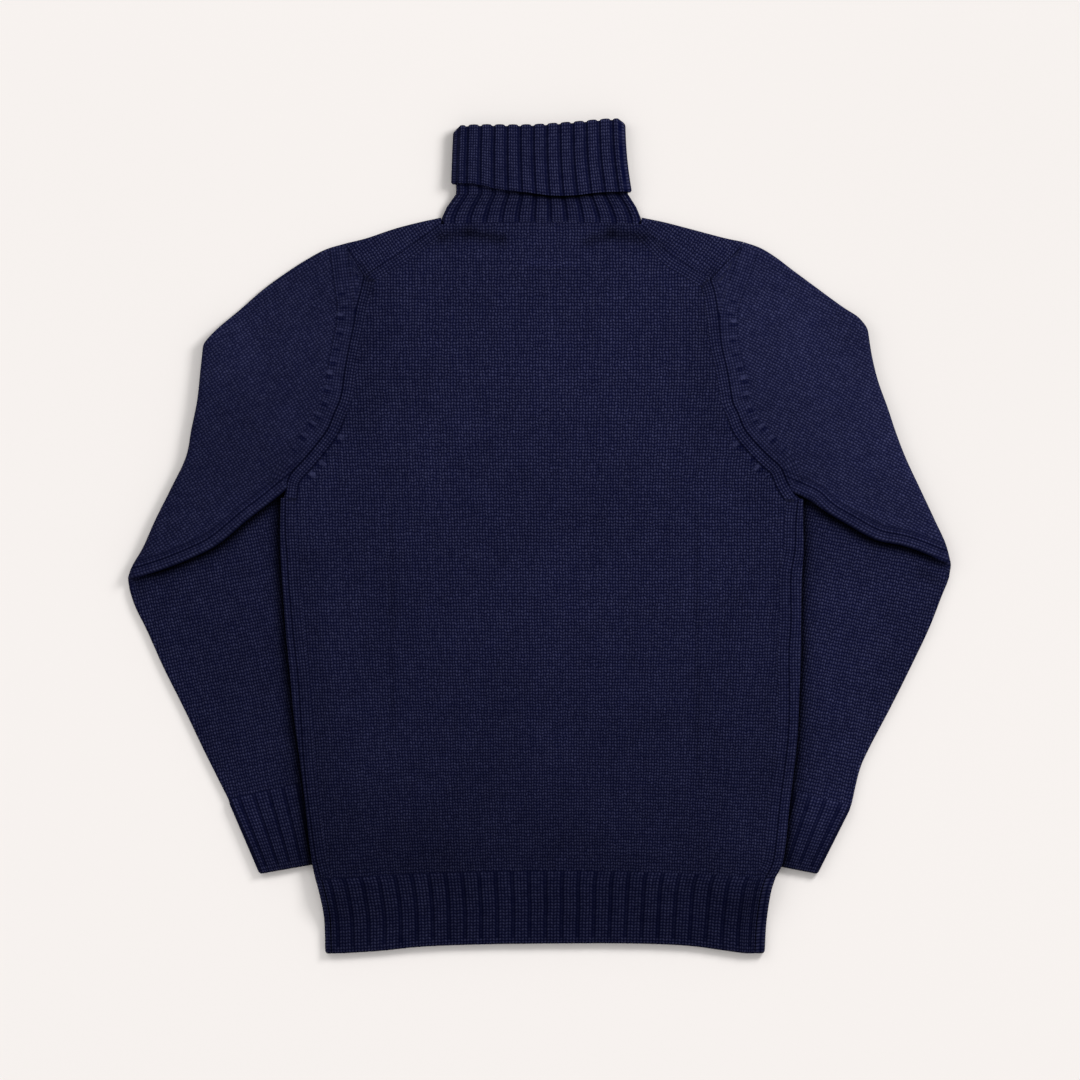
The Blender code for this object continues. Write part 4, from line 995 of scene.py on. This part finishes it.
def turned_way(first, middle, last, w):
    return unit((1 - w) ** 2 * first + 2 * w * (1 - w) * middle + w * w * last)


GRAIN = {
    # degrees from vertical (the way the wales run), wale and course in mm
    "upper_left": (-57.3, 5.45, 3.10), "upper_right": (62.0, 5.45, 3.10),
    "fore_left": (12.0, 5.10, 3.33), "fore_right": (-12.5, 5.10, 3.33),
}


def sleeve_grain(p, part):
    return slanted_grain(p, *GRAIN[part])


def sleeve(name):
    axis, top_ends, low_ends, corners, over, under, inner, outer, ways, sign = sleeve_parts(name)
    fold = stretch(axis, *top_ends)
    back, front = armhole(name, "back"), armhole(name, "front")
    front = pin_ends(front, back[0], back[-1])
    over = over + (back[0] - over[0]) * (1 - ease(length_along(over) / 30.0))[:, None]
    under = under + (back[-1] - under[0]) * (1 - ease(length_along(under) / 30.0))[:, None]
    shares = np.linspace(0, 1, WALL_N)[:, None]
    mids, normals, grains = [], [], []
    total = 2 * WALL_N + 2 * END_N
    straight = np.zeros((total, 2))
    for t in np.linspace(0, 1, UPPER_N):
        walls = []
        for seam in (back, front):
            line = seam * (1 - t) + fold * t
            start, end = along(over, t)[0], along(under, t)[0]
            walls.append(line + (start - line[0]) * (1 - shares) + (end - line[-1]) * shares)
        first, last = unit(along(ways["over"], t)[0]), unit(along(ways["under"], t)[0])
        ring = tube_ring(*walls, first, last)
        base = ring[0]
        m, n = placed(ring, straight, 90.0, 0.0, lift(base) + R_OUT, R_MID, relief(base) * (1 + np.sin(ring[2])) / 2)
        mids.append(m)
        normals.append(n)
        grains.append(sleeve_grain(m[:, :2], "upper_" + name))
    tip_first, tip_last = unit(fold[0] - fold[2]), unit(fold[-1] - fold[-3])
    reach = [corners[0] + R_OUT + CORNER, corners[1] - R_OUT - CORNER]
    for bend in np.linspace(90, -90, FOLD_N + 2)[1:]:
        w = (90.0 - bend) / 180.0
        bulge = math.cos(math.radians(bend))
        start, end = (
            top_ends[k] * (1 - w) + low_ends[k] * w + bulge * (reach[k] - (top_ends[k] + low_ends[k]) / 2) for k in (0, 1)
        )
        fold = stretch(axis, start, end)
        outward = -sign * left_of(fold)
        out = np.vstack([outward, np.repeat(outward[-1:], END_N, 0), outward[::-1], np.repeat(outward[:1], END_N, 0)])
        first = turned_way(ways["over"][-1], tip_first, ways["inner"][0], w)
        last = turned_way(ways["under"][-1], tip_last, ways["outer"][0], w)
        ring = tube_ring(fold, fold, first, last)
        extra = relief(ring[0]) * (1 + np.sin(ring[2])) / 2 * max(0.0, math.sin(math.radians(bend)))
        m, n = placed(ring, out, bend, FOLD_R, np.full(total, FOLD_Z), R_MID, extra)
        mids.append(m)
        normals.append(n)
        arc = (FOLD_R + R_MID) * math.radians(90.0 - bend)
        grains.append(sleeve_grain(ring[0] + out * arc, "upper_" + name))
    upper = (np.array(mids), np.array(normals), np.array(grains))
    mids, normals, grains = [mids[-1]], [normals[-1]], [sleeve_grain(mids[-1][:, :2], "fore_" + name)]
    chord = fold[0] + (fold[-1] - fold[0]) * shares
    for t in np.linspace(0, 1, FORE_N)[1:] ** 1.1:
        start, end = along(inner, t)[0], along(outer, t)[0]
        line = start + (end - start) * shares + (fold - chord) * (1 - t) ** 2
        first, last = unit(along(ways["inner"], t)[0]), unit(along(ways["outer"], t)[0])
        ring = tube_ring(line, line, first, last)
        m, n = placed(ring, straight, -90.0, 0.0, np.full(total, R_OUT), R_MID)
        mids.append(m)
        normals.append(n)
        grains.append(sleeve_grain(m[:, :2], "fore_" + name))
    fore = (np.array(mids), np.array(normals), np.array(grains))
    shell = Shell("sleeve_%s_knit" % name)
    for k, (mid, normal, grain) in enumerate((upper, fore)):
        mid, normal, grain = (np.concatenate([v, v[:, :1]], axis=1) for v in (mid, normal, grain))
        seam, rim = np.full(grain.shape, 1000.0), None
        half = np.full(mid.shape[:2], JERSEY / 2)
        if k == 0:
            rows = UPPER_N // 2
            field = seam_field(mid[:rows, :, :2], [mid[0, :WALL_N, :2][::-1], mid[0, WALL_N + END_N : -END_N - 1, :2]])
            holes = [mid[0, :WALL_N, :2][::-1], mid[0, WALL_N + END_N : -END_N - 1, :2]]
            band = seam_field(mid[:rows, :, :2], holes, False)
            seam[:rows] = band * (-1, 1)
            seam[:rows][band[..., 0] > 900.0] = 1000.0
            # the sleeve's own seam runs along the underarm fold
            low_edge = curve(SLEEVES[name]["under_arm"])
            far, run, side = on_line(longer(moved(low_edge, -9.8 * sign)[3:-26], 30.0, 30.0), mid[..., :2])
            rim = np.stack([far * side * sign, run], axis=-1).reshape(grain.shape)
            dim = painted_light_and_shade(mid[..., :2])
            half[:rows] *= eased_edge(field[..., 0], SEAM_REACH, SEAM_LOW)
            top = np.sin(np.concatenate([np.full(WALL_N, math.pi / 2), np.zeros(mid.shape[1] - WALL_N)]))
            mid[:rows, :, 2] -= SEAM_SINK * (1 - ease(field[..., 0] / 7.0)) * top
            mid[:, -1], half[:, -1] = mid[:, 0], half[:, 0]
        if k == 1:
            # painted shadow on the lower layer beside the body's edge and under the upper layer's underarm edge, the
            # latter fading out near the elbow's tip
            edge = curve(EDGE_L if name == "left" else EDGE_R)
            arm = curve(SLEEVES[name]["under_arm"])
            tip = np.linalg.norm(mid[..., :2] - arm[-1], axis=-1)
            shadow = 1 - (1 - painted_shadow_under_edges(mid[..., :2], [arm], 0.90, 4.6)) * (1 - np.exp(-((tip / 17.0) ** 2)))
            dim = painted_shadow_under_edges(mid[..., :2], [edge], 0.86, 4.4) * shadow * painted_light_and_shade(mid[..., :2])
        shell.grid(mid, normal, half, JERSEY / 2, grain, seam, dim=dim, rim=rim)
    return shell


def run_to_end(mid):
    """Length left to the last row, along the first column's mean."""
    step = np.linalg.norm(np.diff(mid, axis=0), axis=2).mean(axis=1)
    run = np.concatenate([[0.0], np.cumsum(step)])
    return run[-1] - run


def rib_profile(cell, share, groove):
    """Depth below a rib's back for a place across one rib and groove, 0 to 1."""
    x = (np.mod(cell, 1.0) - share / 2) / (share / 2)  # -1..1 on the rib
    dome = 1 - 0.22 * np.clip(np.abs(x), 0, 1) ** 2.2
    side = 1 - ease((np.abs(x) - 0.84) / (0.98 / share - 0.92))
    return groove * (1 - dome * side)


def cuff(name):
    inner, outer = sleeve_parts(name)[6:8]
    start, end = inner[-1], outer[-1]
    ends = points(SLEEVES[name]["cuff_end"])
    way = unit(np.vstack([ends[0] - start, ends[1] - end]))
    start, end = start + NEAR * way[0], end + NEAR * way[1]
    low = ends + np.array([unit(end - start), unit(start - end)]) * (RIB + INNER_GAP / 2)
    columns = CUFF_RIBS * 14 + 1
    s = np.linspace(0, 1, columns)
    cell = s * CUFF_RIBS + HEM_SHARE / 2
    mids, normals, outs, inns, grains = [], [], [], [], []
    length = np.linalg.norm(low[0] - start)
    for t in np.linspace(0, 1, 44):
        grow = ease(t * length / 7.0)
        wall = JERSEY + (RIB - JERSEY) * grow
        r = INNER_GAP / 2 + wall / 2
        a, b = start + (low[0] - start) * t, end + (low[1] - end) * t
        line = a + (b - a) * s[:, None]
        ring = tube_ring(line, line, unit(line[0] - line[1]), unit(line[-1] - line[-2]))
        m, n = placed(ring, np.zeros((len(ring[0]), 2)), -90.0, 0.0, np.full(len(ring[0]), INNER_GAP / 2 + wall), r)
        depth = rib_profile(cell, HEM_SHARE, CUFF_GROOVE)
        fade = np.full(END_N, 0.0)
        cut = np.concatenate([depth, fade, depth[::-1], fade]) * grow
        lip = eased_edge((1 - t) * length, 2.6, 0.25)
        mids.append(m)
        normals.append(n)
        outs.append((wall / 2 - cut) * lip)
        inns.append(np.full(len(m), wall / 2))
        ring_cell = np.concatenate([cell, np.linspace(cell[-1], cell[-1] + 0.6, END_N), cell[::-1] + 40.0, np.linspace(cell[0] + 39.4, cell[0] + 40, END_N), [cell[0]]])
        grains.append(np.stack([ring_cell, np.full(len(ring_cell), t * 72 / COURSE)], axis=1))
    shell = Shell("cuff_%s_rib" % name)
    mids = np.array(mids)
    # painted shadow beside the body's overhanging edge, times the painted light and shade of the upper cloth
    dim = painted_shadow_under_edges(mids[..., :2], [curve(EDGE_L if name == "left" else EDGE_R)], 0.86, 4.4) * painted_light_and_shade(mids[..., :2])
    shell.grid(mids, np.array(normals), np.array(outs), np.array(inns), np.array(grains), ring=True, dim=dim)
    return shell


# =====================================================================
# Hem and collar
# =====================================================================
def hem(which):
    back = which == "back"
    edge_l, edge_r = curve(HEM_EDGE_L), curve(HEM_EDGE_R)
    low = curve(HEM_LOW_Y)
    per = 10
    s = np.linspace(0, 1, HEM_RIBS * per + 1)
    cell = s * HEM_RIBS + HEM_SHARE / 2
    depth = rib_profile(cell, HEM_SHARE, HEM_GROOVE)
    rows = 40
    body_l, body_r = at(*EDGE_L[0]) + (R_OUT, 0), at(*EDGE_R[0]) - (R_OUT, 0)
    seam_in_l, seam_in_r = at(321.5, 0)[0] - at(315.5, 0)[0], at(775.5, 0)[0] - at(765.5, 0)[0]
    grid, height, walls, lips, grain, wraps = [], [], [], [], [], {-1: [], 1: []}
    for t in np.linspace(0, 1, rows):
        left, right = along(edge_l, t)[0], along(edge_r, t)[0]
        grow = ease(t * 72.0 / 7.0)
        wall = JERSEY + (RIB - JERSEY) * grow
        r_out, r_mid = wall + INNER_GAP / 2, INNER_GAP / 2 + wall / 2
        axis_l, axis_r = left + (r_out, 0), right - (r_out, 0)
        line = axis_l + (axis_r - axis_l) * s[:, None]
        top_y = body_l[1] + (body_r[1] - body_l[1]) * s + 7.0 * UNIT * 4 * s * (1 - s) - NEAR
        low_y = np.interp(line[:, 0], low[:, 0], low[:, 1])
        line[:, 1] = top_y * (1 - t) + low_y * t
        high = lift(line)
        seam_l, seam_r = left[0] + seam_in_l, right[0] - seam_in_r
        if back:
            x = line[:, 0]
            wide = 14
            x[:wide] = np.linspace(seam_l, x[wide], wide, endpoint=False)
            x[-wide:] = np.linspace(x[-wide - 1], seam_r, wide + 1)[1:]
        z = high + (r_out + r_mid + relief(line) if back else r_out - r_mid)
        lip = eased_edge((1 - t) * 72, 2.6, 0.25)
        edge = eased_edge(np.minimum(line[:, 0] - line[0, 0], line[-1, 0] - line[:, 0]), 2.6, 0.35) if back else 1.0
        grid.append(with_z(line, z))
        walls.append(np.stack([(wall / 2 - depth * grow) * lip * edge, np.full(len(line), wall / 2)], axis=1))
        grain.append(np.stack([cell + (0 if back else 60), np.full(len(line), t * 72 / COURSE)], axis=1))
        for side, axis, seam_x, k in ((-1, axis_l, seam_l, 0), (1, axis_r, seam_r, -1)):
            y = (top_y[k] * (1 - t) + low_y[k] * t) if not back else 0
            base = np.array([axis[0], y, high[k] + r_out])
            mid, ways, arcs = [], [], []
            for a in np.radians(np.linspace(-90, 90, 13)):
                way = np.array([side * math.cos(a), 0, math.sin(a)])
                mid.append(base + r_mid * way)
                ways.append(way)
                arcs.append(0.36 + 0.2 * (a + math.pi / 2) / math.pi)
            for q in np.linspace(0, 1, 5)[1:]:
                mid.append(np.array([axis[0] * (1 - q) + (seam_x + side * SEAM_GAP) * q, y, base[2] + r_mid]))
                ways.append(UP)
                arcs.append(0.56 + 0.2 * q)
            wraps[side].append((mid, ways, np.full(len(mid), wall / 2 * lip), np.full(len(mid), wall / 2), np.stack([np.array(arcs), np.full(len(mid), t * 72 / COURSE)], axis=1)))
    shell = Shell("hem_rib_%s_knit" % which)
    walls = np.array(walls)
    grid = np.array(grid)
    shell.grid(grid, UP if back else -UP, walls[..., 0], walls[..., 1], np.array(grain), dim=painted_light_and_shade(grid[..., :2]))
    if not back:
        for side in (-1, 1):
            mid, normal, out, inn, uv = (np.array([w[k] for w in wraps[side]]) for k in range(5))
            shell.grid(mid, normal, out, inn, uv, dim=painted_light_and_shade(mid[..., :2]))
    return shell


def collar():
    per = 14
    s = np.linspace(0, 1, COLLAR_RIBS * per + 1)
    cell = s * COLLAR_RIBS + RIB_SHARE / 2
    depth = rib_profile(cell, RIB_SHARE, COLLAR_GROOVE)
    top, low = curve(TURN_TOP_Y), curve(TURN_LOW_Y)
    ends = np.linspace(90, -90, END_N + 2)[1:-1]
    centre = INNER_GAP / 2 + RIB + SEAM_GAP + RIB
    low_l, low_r = at(TURN_LOW_X[0], 0)[0] + centre, at(TURN_LOW_X[1], 0)[0] - centre
    top_l, top_r = at(TURN_TOP_X[0], 0)[0] + centre, at(TURN_TOP_X[1], 0)[0] - centre
    mids, normals, outs, inns, grains, dims = [], [], [], [], [], []
    run = [0.0]

    def ring_row(x_l, x_r, y_back, y_front, rho, tilt, wall, z, cut_a, cut_b, travel, lip=1.0, flare=0.0, drop=0.0, follow=0.0, shade=lambda x, y: 1.0):
        ca, sa = math.cos(math.radians(tilt)), math.sin(math.radians(tilt))
        run[0] += travel
        x = x_l + (x_r - x_l) * s
        end_l, end_r = (max(y_back(e), y_front(e)) + (0.7 if y_back is not y_front else 0.0) for e in (x_l, x_r))
        rad = np.radians(ends)
        end_l, end_r = end_l - drop * np.cos(rad), end_r - 0.7 * drop * np.cos(rad)
        px = np.concatenate([x, np.full(END_N, x_r), x[::-1], np.full(END_N, x_l)])
        py = np.concatenate([y_back(x), end_r + 0 * rad, y_front(x[::-1]), end_l[::-1] + 0 * rad])
        wx = np.concatenate([0 * x, np.cos(rad), 0 * x, -np.cos(rad)])
        wz = np.concatenate([0 * x + 1, np.sin(rad), 0 * x - 1, np.sin(rad[::-1])])
        d = np.concatenate([depth, np.zeros(END_N), depth[::-1], np.zeros(END_N)])
        lay = relief(np.stack([px, py], axis=1)) * follow * np.maximum(wz, 0)
        mids.append(np.stack([px + rho * wx, py, z + rho * wz + flare * np.maximum(wz, 0) + lay], axis=1))
        dims.append(painted_light_and_shade(np.stack([px, py], axis=1)) * np.where(wz > 0, shade(px, py), 1.0))
        normals.append(np.stack([-ca * wx, np.full(len(px), sa), -ca * wz], axis=1))
        outs.append((wall / 2 - d * cut_a) * lip)
        inns.append((wall / 2 - d * cut_b) * lip)
        ring_cell = np.concatenate([cell, np.linspace(cell[-1], cell[-1] + 0.6, END_N), cell[::-1] + 40.0, np.linspace(cell[0] + 39.4, cell[0] + 40.0, END_N), [cell[0]]])
        grains.append(np.stack([ring_cell, np.full(len(ring_cell), run[0] / COURSE)], axis=1))

    q = np.linspace(0, 1, 41)
    neck_b, neck_f = neck_back(q), neck_front(q)

    def seam_b(x):
        return np.interp(x, neck_b[:, 0], neck_b[:, 1]) + NEAR

    def seam_f(x):
        return np.interp(x, neck_f[:, 0], neck_f[:, 1]) + 1.5 * SEAM_GAP

    # painted shadow on the stand just under the turnover's lower edge
    def painted_shadow_under_turn(x, y):
        gap = np.interp(x, low[:, 0], low[:, 1]) - y
        return 1 - 0.80 * np.exp(-((np.maximum(gap, 0) / 2.6) ** 2)) - 0.18 * np.exp(-((np.maximum(gap, 0) / 9.0) ** 2))

    keys = []
    for x_l, x_r, y, wall, z in STAND_ROWS:
        edge = INNER_GAP / 2 + wall
        keys.append((at(x_l, 0)[0] + edge, at(x_r, 0)[0] - edge, None if y is None else at(0, y)[1], wall, z))
    base_y = at(0, 222)[1]
    levels = np.array([base_y] + [k[2] for k in keys[1:]])
    for y in np.concatenate([np.linspace(base_y, at(0, 217)[1], 7, endpoint=False), np.linspace(at(0, 217)[1], at(0, 194)[1], 22)]):
        x_l, x_r, wall, z = (np.interp(y, levels, [k[j] for k in keys]) for j in (0, 1, 3, 4))
        rho = INNER_GAP / 2 + wall / 2
        share = float(np.clip((y - base_y) / (at(0, 217)[1] - base_y), 0, 1))
        flat_y = at(0, 217)[1]
        if share < 1:
            back_y = lambda x: seam_b(x) * (1 - share) + flat_y * share
            front_y = lambda x: seam_f(x) * (1 - share) + flat_y * share
        else:
            back_y = front_y = lambda x: y + 0 * x
        grow = float(ease((y - base_y + 3) / 9.0))
        ring_row(x_l, x_r, back_y, front_y, rho, 0.0, wall, z, 0.0, 0.85 * grow, 0.9 if share < 1 else 1.06, follow=1 - float(ease((y - base_y) / 12.0)), shade=painted_shadow_under_turn)

    def top_y(x):
        return np.interp(x, top[:, 0], top[:, 1]) - TURN_R - RIB / 2

    def low_y(x):
        return np.interp(x, low[:, 0], low[:, 1])

    y_start = at(0, 194)[1]
    x0_l, x0_r = keys[-1][0], keys[-1][1]
    for t in np.linspace(0, 1, 14)[1:]:
        rise = lambda x: y_start * (1 - t) + top_y(x) * t
        ring_row(x0_l + (top_l - x0_l) * t, x0_r + (top_r - x0_r) * t, rise, rise, STAND_RHO, 0.0, RIB, 7.0 + (centre - 7.0) * ease(t * 3), 0.0, 0.85 * (1 - t), 4.8, drop=CORNER_DROP * t**3)
    for tilt in np.linspace(0, 180, 15)[1:]:
        c, sn = math.cos(math.radians(tilt)), math.sin(math.radians(tilt))
        roll = lambda x: top_y(x) + TURN_R * sn
        ring_row(top_l, top_r, roll, roll, STAND_RHO + TURN_R * (1 - c), tilt, RIB, centre, float(ease((tilt - 30) / 50)), 0.0, 0.5, drop=CORNER_DROP)
    for t in np.linspace(0, 1, 40)[1:]:
        fall = lambda x: top_y(x) * (1 - t) + low_y(x) * t
        waist = 1.4 * math.sin(math.pi * t)
        ring_row(top_l + (low_l - top_l) * t, top_r + (low_r - top_r) * t - waist, fall, fall, TURN_RHO, 180.0, RIB, centre, 1.0, 0.0, 1.65, float(eased_edge((1 - t) * 62, 2.6, 0.25)), 1.6 * t**3, CORNER_DROP * (1 - t) ** 4)
    shell = Shell("collar_rib_knit")
    shell.grid(np.array(mids), np.array(normals), np.array(outs), np.array(inns), np.array(grains), ring=True, dim=np.array(dims))
    return shell


# =====================================================================
# Stage
# =====================================================================
KEY, FILL = (0.82, 0.72, 0.85), (-0.80, 0.70, 0.90)
KEY_POWER, FILL_POWER, WORLD = 19.4, 5.5, 0.68
PAPER = (0.9301, 0.8879, 0.8632)
PAPER_WORLD, PAPER_KEY, PAPER_FILL = 0.715, 1.535, 0.413  # light on the floor from each


def stage():
    size = 6.0
    mesh = bpy.data.meshes.new("floor")
    mesh.from_pydata([(-size, -size, 0), (size, -size, 0), (size, size, 0), (-size, size, 0)], [], [(0, 1, 2, 3)])
    floor = bpy.data.objects.new("floor", mesh)
    floor.location.z = -0.0004
    bpy.context.scene.collection.objects.link(floor)
    material = bpy.data.materials.new("floor_paper")
    material.use_nodes = True
    shader = material.node_tree.nodes["Principled BSDF"]
    shader.inputs["Roughness"].default_value = 1.0
    shader.inputs["Specular IOR Level"].default_value = 0.0
    # paler paper away from the lamps, so that the sheet comes out even
    tree = material.node_tree
    place = tree.nodes.new("ShaderNodeNewGeometry").outputs["Position"]
    lit = PAPER_WORLD
    for lamp, share in ((KEY, PAPER_KEY), (FILL, PAPER_FILL)):
        far = tree.nodes.new("ShaderNodeVectorMath")
        far.operation = "DISTANCE"
        far.inputs[1].default_value = lamp
        tree.links.new(place, far.inputs[0])
        fall = tree.nodes.new("ShaderNodeMath")
        fall.operation = "POWER"
        fall.inputs[1].default_value = -4.0
        tree.links.new(far.outputs["Value"], fall.inputs[0])
        high = math.sqrt(sum(v * v for v in lamp))
        toward = tree.nodes.new("ShaderNodeVectorMath")
        toward.operation = "DOT_PRODUCT"
        toward.inputs[1].default_value = [v / high for v in lamp]
        tree.links.new(place, toward.inputs[0])
        faced = tree.nodes.new("ShaderNodeMath")
        faced.operation = "SUBTRACT"
        faced.inputs[0].default_value = high
        tree.links.new(toward.outputs["Value"], faced.inputs[1])
        both = tree.nodes.new("ShaderNodeMath")
        both.operation = "MULTIPLY"
        tree.links.new(fall.outputs[0], both.inputs[0])
        tree.links.new(faced.outputs[0], both.inputs[1])
        more = tree.nodes.new("ShaderNodeMath")
        more.operation = "MULTIPLY_ADD"
        more.inputs[1].default_value = share
        tree.links.new(both.outputs[0], more.inputs[0])
        if isinstance(lit, float):
            more.inputs[2].default_value = lit
        else:
            tree.links.new(lit, more.inputs[2])
        lit = more.outputs[0]
    paper = tree.nodes.new("ShaderNodeVectorMath")
    paper.operation = "DIVIDE"
    paper.inputs[0].default_value = PAPER
    tree.links.new(lit, paper.inputs[1])
    tree.links.new(paper.outputs["Vector"], shader.inputs["Base Color"])
    mesh.materials.append(material)

    world = bpy.data.worlds.new("studio")
    bpy.context.scene.world = world
    world.use_nodes = True
    back = world.node_tree.nodes["Background"]
    back.inputs["Color"].default_value = (1.0, 1.0, 1.0, 1.0)
    back.inputs["Strength"].default_value = WORLD

    for name, place, size, power in (
        ("key", KEY, 0.5, KEY_POWER),
        ("fill", FILL, 0.8, FILL_POWER),
    ):
        data = bpy.data.lights.new(name, "AREA")
        data.shape, data.size, data.energy = "SQUARE", size, power
        lamp = bpy.data.objects.new(name, data)
        lamp.location = place
        lamp.rotation_mode = "QUATERNION"
        lamp.rotation_quaternion = (Vector((0, 0, 0)) - Vector(place)).to_track_quat("-Z", "Y")
        bpy.context.scene.collection.objects.link(lamp)

    camera = bpy.data.cameras.new("camera")
    high = 3.0
    frame_width = 1080 * UNIT / 1000
    camera.sensor_width = 36.0
    camera.lens = 36.0 * (high - 0.008) / frame_width
    eye = bpy.data.objects.new("camera", camera)
    centre = at(540, 540) / 1000
    eye.location = (centre[0], centre[1], high)
    eye.rotation_euler = (0, 0, 0)
    bpy.context.scene.collection.objects.link(eye)
    bpy.context.scene.camera = eye
    bpy.context.scene.view_settings.view_transform = "Standard"


def main():
    plain, ribbed = plain_knit("navy_plain_knit"), rib_knit("navy_rib_knit", RIB_SHARE, 0.08, 0.38, 1.06, 0.40, 0.90)
    ribbed_hem = rib_knit("navy_hem_rib_knit", HEM_SHARE, 0.09, 0.38, 1.0, 0.18, 0.84, 21.4)
    made = {}
    made["back_panel"] = back_panel().build(plain, "plain_knit")
    made["front_panel"] = front_panel().build(plain, "plain_knit")
    for name in ("left", "right"):
        made["sleeve_" + name] = sleeve(name).build(plain, "plain_knit")
        made["cuff_" + name] = cuff(name).build(ribbed_hem, "rib_knit")
    made["hem_rib_back"] = hem("back").build(ribbed_hem, "rib_knit")
    made["hem_rib_front"] = hem("front").build(ribbed_hem, "rib_knit")
    made["collar"] = collar().build(ribbed, "rib_knit")
    for node, piece in made.items():
        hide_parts(node)


main()
stage()
